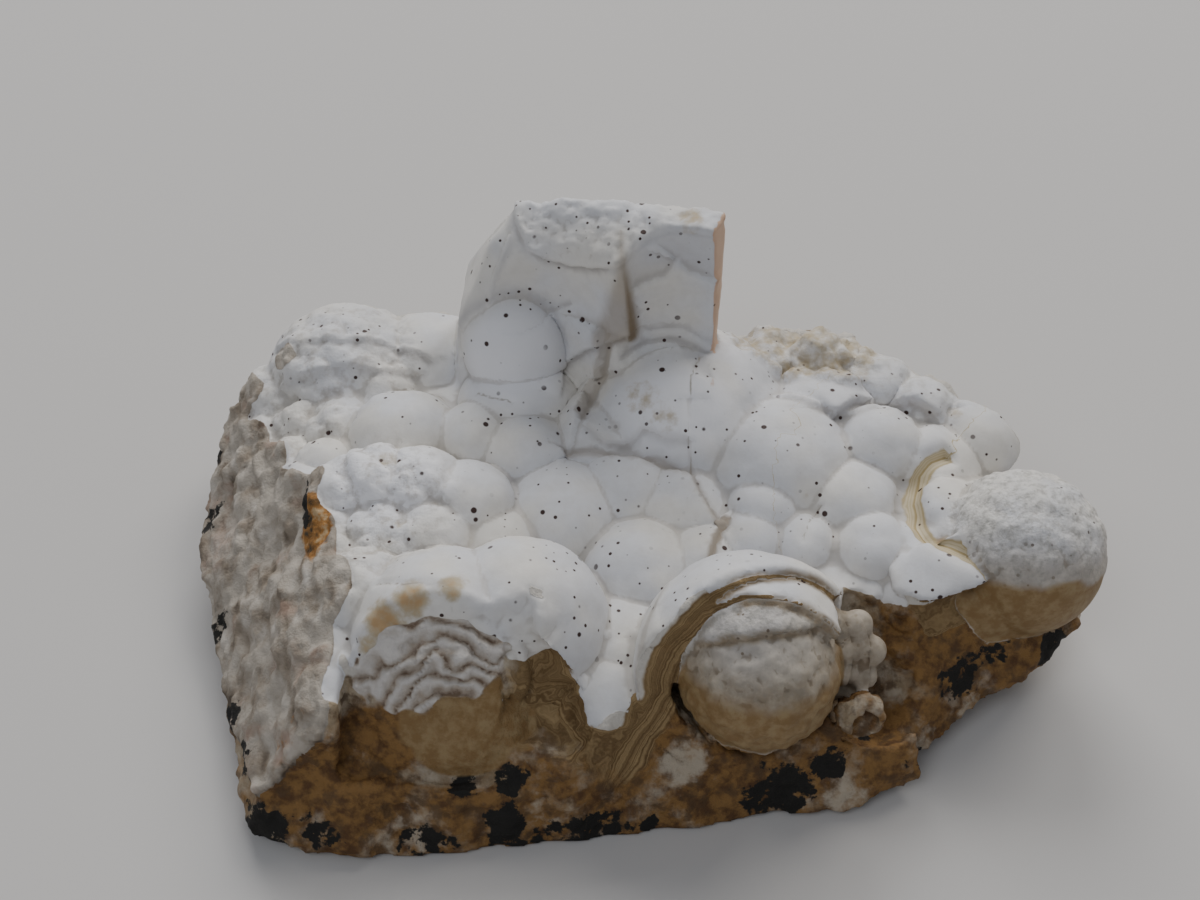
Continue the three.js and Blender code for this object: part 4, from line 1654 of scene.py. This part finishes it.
@dataclass(frozen=True)
class MatrixFinish:
    """The broken faces: the shell's thin bands, and cream, ochre and black matrix."""

    rim: Point = (0.60, 0.57, 0.52)
    light_band: Point = (0.35, 0.245, 0.12)
    dark_band: Point = (0.16, 0.098, 0.04)
    cream: Point = (0.50, 0.44, 0.35)
    ochre: Point = (0.26, 0.145, 0.05)
    rust: Point = (0.11, 0.055, 0.022)
    brown: Point = (0.10, 0.06, 0.03)
    black: Point = (0.016, 0.015, 0.013)
    drab: Point = (0.34, 0.27, 0.18)
    flesh: Point = (0.38, 0.25, 0.19)
    chalk: Point = (0.52, 0.48, 0.42)
    hung: Stops = (
        (0.08, (0.10, 0.075, 0.052)), (0.30, (0.26, 0.215, 0.165)), (0.58, (0.38, 0.335, 0.28)),
        (0.90, (0.58, 0.54, 0.485)),
    )
    rusted: Stops = (
        (0.36, (0.06, 0.05, 0.03)), (0.46, (0.22, 0.11, 0.035)), (0.56, (0.40, 0.19, 0.05)),
        (0.66, (0.50, 0.36, 0.20)),
    )
    # the flaked ledges' colours from foot to edge: the dark brown foot is partly the ledges' brown lines
    # and partly painted shade
    flakes: Stops = (
        (0.0, (0.18, 0.125, 0.085)), (0.26, (0.40, 0.34, 0.28)), (0.55, (0.54, 0.50, 0.455)),
        (0.9, (0.65, 0.62, 0.59)),
    )

    def colour(self, graph: Graph) -> Value:
        """Gives the colour of the broken faces.

        Args:
            graph: the material's nodes.

        Returns:
            The colour.
        """
        depth = graph.ragged(Mark.SKIN, 0.6, 2.0, 3, 31)
        bands = graph.bands(depth * 2.6, 3.0, 0.75).step(0.38, 0.62)
        banded = graph.mark(Mark.BANDED) * graph.mark(Mark.SKIN).step(4.2, 2.6)
        banded = banded + (graph.noise(1.5, 3, 45) - 0.5) * 0.8
        hue = graph.blend(graph.noise(0.9, 4, 41).step(0.4, 0.66), self.ochre, self.rust)
        ledge_wear_and_shade = graph.ragged(Mark.LAYERS, 0.9, 0.8, 4, 50)
        return graph.coats(graph.blend(graph.noise(2.2, 5, 39).step(0.4, 0.62), self.cream, self.drab), [
            (graph.ragged(Mark.OCHRE, 1.4, 1.8, 4, 35).step(0.25, 0.75), hue),
            (graph.noise(1.3, 4, 43).step(0.5, 0.66) * 0.75, self.brown),
            (banded.step(0.35, 0.75), graph.blend(bands, self.dark_band, self.light_band)),
            (graph.ragged(Mark.PALE_AND_HIGHLIGHT, 1.6, 1.4, 4, 33).step(0.5, 0.9) * 0.85, self.cream),
            (depth.step(0.42, 0.2), self.rim),
            (graph.mark(Mark.STREAK).step(0.0, 0.02), self.left_face(graph)),
            # painted shade: each ledge is darker brown at its foot and paler at its edge
            (graph.mark(Mark.FLAKE).step(0.3, 0.7), graph.ramp(ledge_wear_and_shade, self.flakes)),
            (graph.ragged(Mark.SOOT, 2.2, 0.9, 5, 37).step(0.62, 0.78), self.black),
        ])

    def left_face(self, graph: Graph) -> Value:
        """Gives the colour of the weathered left face.

        Args:
            graph: the material's nodes.

        Returns:
            The colour.
        """
        rust = graph.ramp(graph.noise(0.9, 4, 54), self.rusted)
        return graph.coats(graph.ramp(graph.ragged(Mark.STREAK, 0.35, 0.8, 4, 47), self.hung), [
            (graph.noise(3.5, 2, 49).step(0.56, 0.7) * 0.5, self.flesh),
            (graph.noise(2.6, 4, 52).step(0.42, 0.6) * 0.6, self.chalk),
            (graph.ragged(Mark.OCHRE, 0.9, 0.8, 3, 48).step(1.0, 1.3), rust),
        ])


@dataclass(frozen=True)
class StoneFinish:
    """The whole finish of the stone."""

    crust: CrustFinish = CrustFinish()
    matrix: MatrixFinish = MatrixFinish()
    rough: float = 0.5
    gloss: float = 0.35
    relief: float = 0.00022

    def build(self) -> bpy.types.Material:
        """Makes the material.

        Returns:
            The material.
        """
        graph = Graph(SLOT)
        crust = self.crust.ball(graph, self.crust.colour(graph))
        broken = graph.ragged(Mark.BROKEN, 0.35, 0.5, 3, 51).step(0.4, 0.6)
        colour = graph.blend(broken, crust, self.matrix.colour(graph))
        colour = self.crust.smooth_tan(graph, colour)
        graph.feed(graph.shader.inputs["Base Color"], colour)
        dull = broken * 0.18 + self.rough + graph.noise(0.5, 4, 53) * 0.15
        graph.feed(graph.shader.inputs["Roughness"], dull)
        pits = graph.noise(0.32, 4, 55) * (graph.mark(Mark.BALL) * 0.9 + graph.mark(Mark.KNOBBLY) * 0.7)
        fine = graph.noise(0.22, 3, 57) * (broken * 0.9 + 0.12)
        inputs = {"Strength": 0.55, "Distance": self.relief, "Height": pits + fine}
        graph.feed(graph.shader.inputs["Normal"], graph.add("ShaderNodeBump", {}, inputs, "Normal"))
        graph.feed(graph.shader.inputs["Specular IOR Level"], self.gloss)
        return graph.material


@dataclass(frozen=True)
class Stone:
    """The whole specimen."""

    bed: Bed = Bed()
    crust: Crust = Crust()
    fin: Fin = Fin()
    nest: Nest = Nest()
    right_end: RightEnd = RightEnd()
    breaks: Breaks = Breaks()
    facet: float = 0.3
    rubs: int = 2

    def form(self) -> bpy.types.Object:
        """Makes the stone's form in millimetres.

        Returns:
            The form, with one even skin.
        """
        parts = [*self.bed.blocks(), *self.crust.domes(), self.nest.shell(), self.fin.build()]
        rock = skinned(mesh_of("rock", parts), VOXEL)
        cut(rock, [*self.breaks.all(), self.breaks.band, self.breaks.sheet, self.nest.outer_layer()])
        rock = skinned(mesh_of("rock", [rock, self.right_end.rim]), VOXEL)
        cut(rock, self.nest.inside())
        end = self.right_end
        grown = [self.crust.flaked_core, end.ball, end.cheek, end.foot]
        return skinned(mesh_of("stone", [rock, *self.nest.grown(), *grown]), VOXEL)

    def build(self) -> bpy.types.Object:
        """Makes the finished stone.

        Returns:
            The stone in metres, with its marks.
        """
        made = self.form()
        mesh = made.data
        bm = bmesh.new()
        bm.from_mesh(mesh)
        upper = [vert for vert in bm.verts if vert.co.z > self.facet]
        axes = {f"use_axis_{axis}": True for axis in "xyz"}
        for _ in range(self.rubs):
            bmesh.ops.smooth_vert(bm, verts=upper, factor=0.5, **axes)
        bm.to_mesh(mesh)
        bm.free()
        relief = Relief(self.bed, self.crust, self.fin, self.nest, self.right_end, self.breaks)
        relief.dress(mesh)
        thinned(made, MOST_TRIANGLES)
        mesh = made.data
        mesh.transform(Matrix.Scale(MM, 4))
        mesh.shade_smooth()
        mesh.materials.append(StoneFinish().build())
        return made


# ---------------------------------------------------------------- studio


@dataclass(frozen=True)
class Lamp:
    """A soft square light: its place, its side, its power and its colour."""

    at: Point
    side: float
    power: float
    colour: Point

    def build(self, name: str, target: Vector) -> None:
        """Makes the light.

        Args:
            name: the light's name.
            target: the place that it faces.
        """
        data = bpy.data.lights.new(name, "AREA")
        data.size = self.side
        data.energy = self.power
        data.color = self.colour
        made = bpy.data.objects.new(name, data)
        made.location = self.at
        made.rotation_euler = (target - made.location).to_track_quat("-Z", "Y").to_euler()
        bpy.context.scene.collection.objects.link(made)


@dataclass(frozen=True)
class Studio:
    """The camera, the lights and the pale floor."""

    eye: Point = (-0.003696, -0.076598, 0.088911)
    tilt: float = 44.0
    lens: float = 50.0
    sensor: float = 36.0
    nearest: float = 0.005
    floor: float = 0.9
    paper: Point = (0.6, 0.59, 0.58)
    paper_roughness: float = 0.9
    lamps: tuple[Lamp, ...] = (
        Lamp((-0.08, 0.66, 0.56), 0.45, 4.2, (1, 0.985, 0.97)),
        Lamp((0.40, 0.50, 0.70), 0.40, 3, (1, 0.95, 0.88)),
        Lamp((-0.30, -0.45, 0.75), 0.45, 1.6, (0.93, 0.96, 1)),
    )
    sky: Point = (0.80, 0.82, 0.88)
    sky_strength: float = 0.235

    def build(self) -> None:
        """Makes the studio."""
        scene = bpy.context.scene
        camera = bpy.data.objects.new("camera", bpy.data.cameras.new("camera"))
        camera.data.lens = self.lens
        camera.data.sensor_width = self.sensor
        camera.data.clip_start = self.nearest
        camera.location = self.eye
        camera.rotation_euler = (radians(90 - self.tilt), 0, 0)
        scene.collection.objects.link(camera)
        scene.camera = camera
        for i, lamp in enumerate(self.lamps):
            lamp.build(f"lamp_{i}", Vector((0, 0, 0)))
        scene.world = bpy.data.worlds.new("sky")
        scene.world.use_nodes = True
        sky = scene.world.node_tree.nodes["Background"]
        sky.inputs["Color"].default_value = (*self.sky, 1)
        sky.inputs["Strength"].default_value = self.sky_strength
        bm = bmesh.new()
        bmesh.ops.create_grid(bm, x_segments=1, y_segments=1, size=self.floor)
        mesh = bpy.data.meshes.new("floor")
        bm.to_mesh(mesh)
        bm.free()
        floor = bpy.data.objects.new("floor", mesh)
        scene.collection.objects.link(floor)
        paper = Graph("paper")
        paper.feed(paper.shader.inputs["Base Color"], self.paper)
        paper.feed(paper.shader.inputs["Roughness"], self.paper_roughness)
        mesh.materials.append(paper.material)


def main() -> None:
    """Makes the stone and the studio around it."""
    logging.basicConfig(level=logging.INFO, format="%(message)s")
    Studio().build()
    stone = Stone().build()
    log.info("%s: %d faces", stone.name, len(stone.data.polygons))
    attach(stone, "root")
    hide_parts(NODE)


if __name__ == "__main__":
    main()
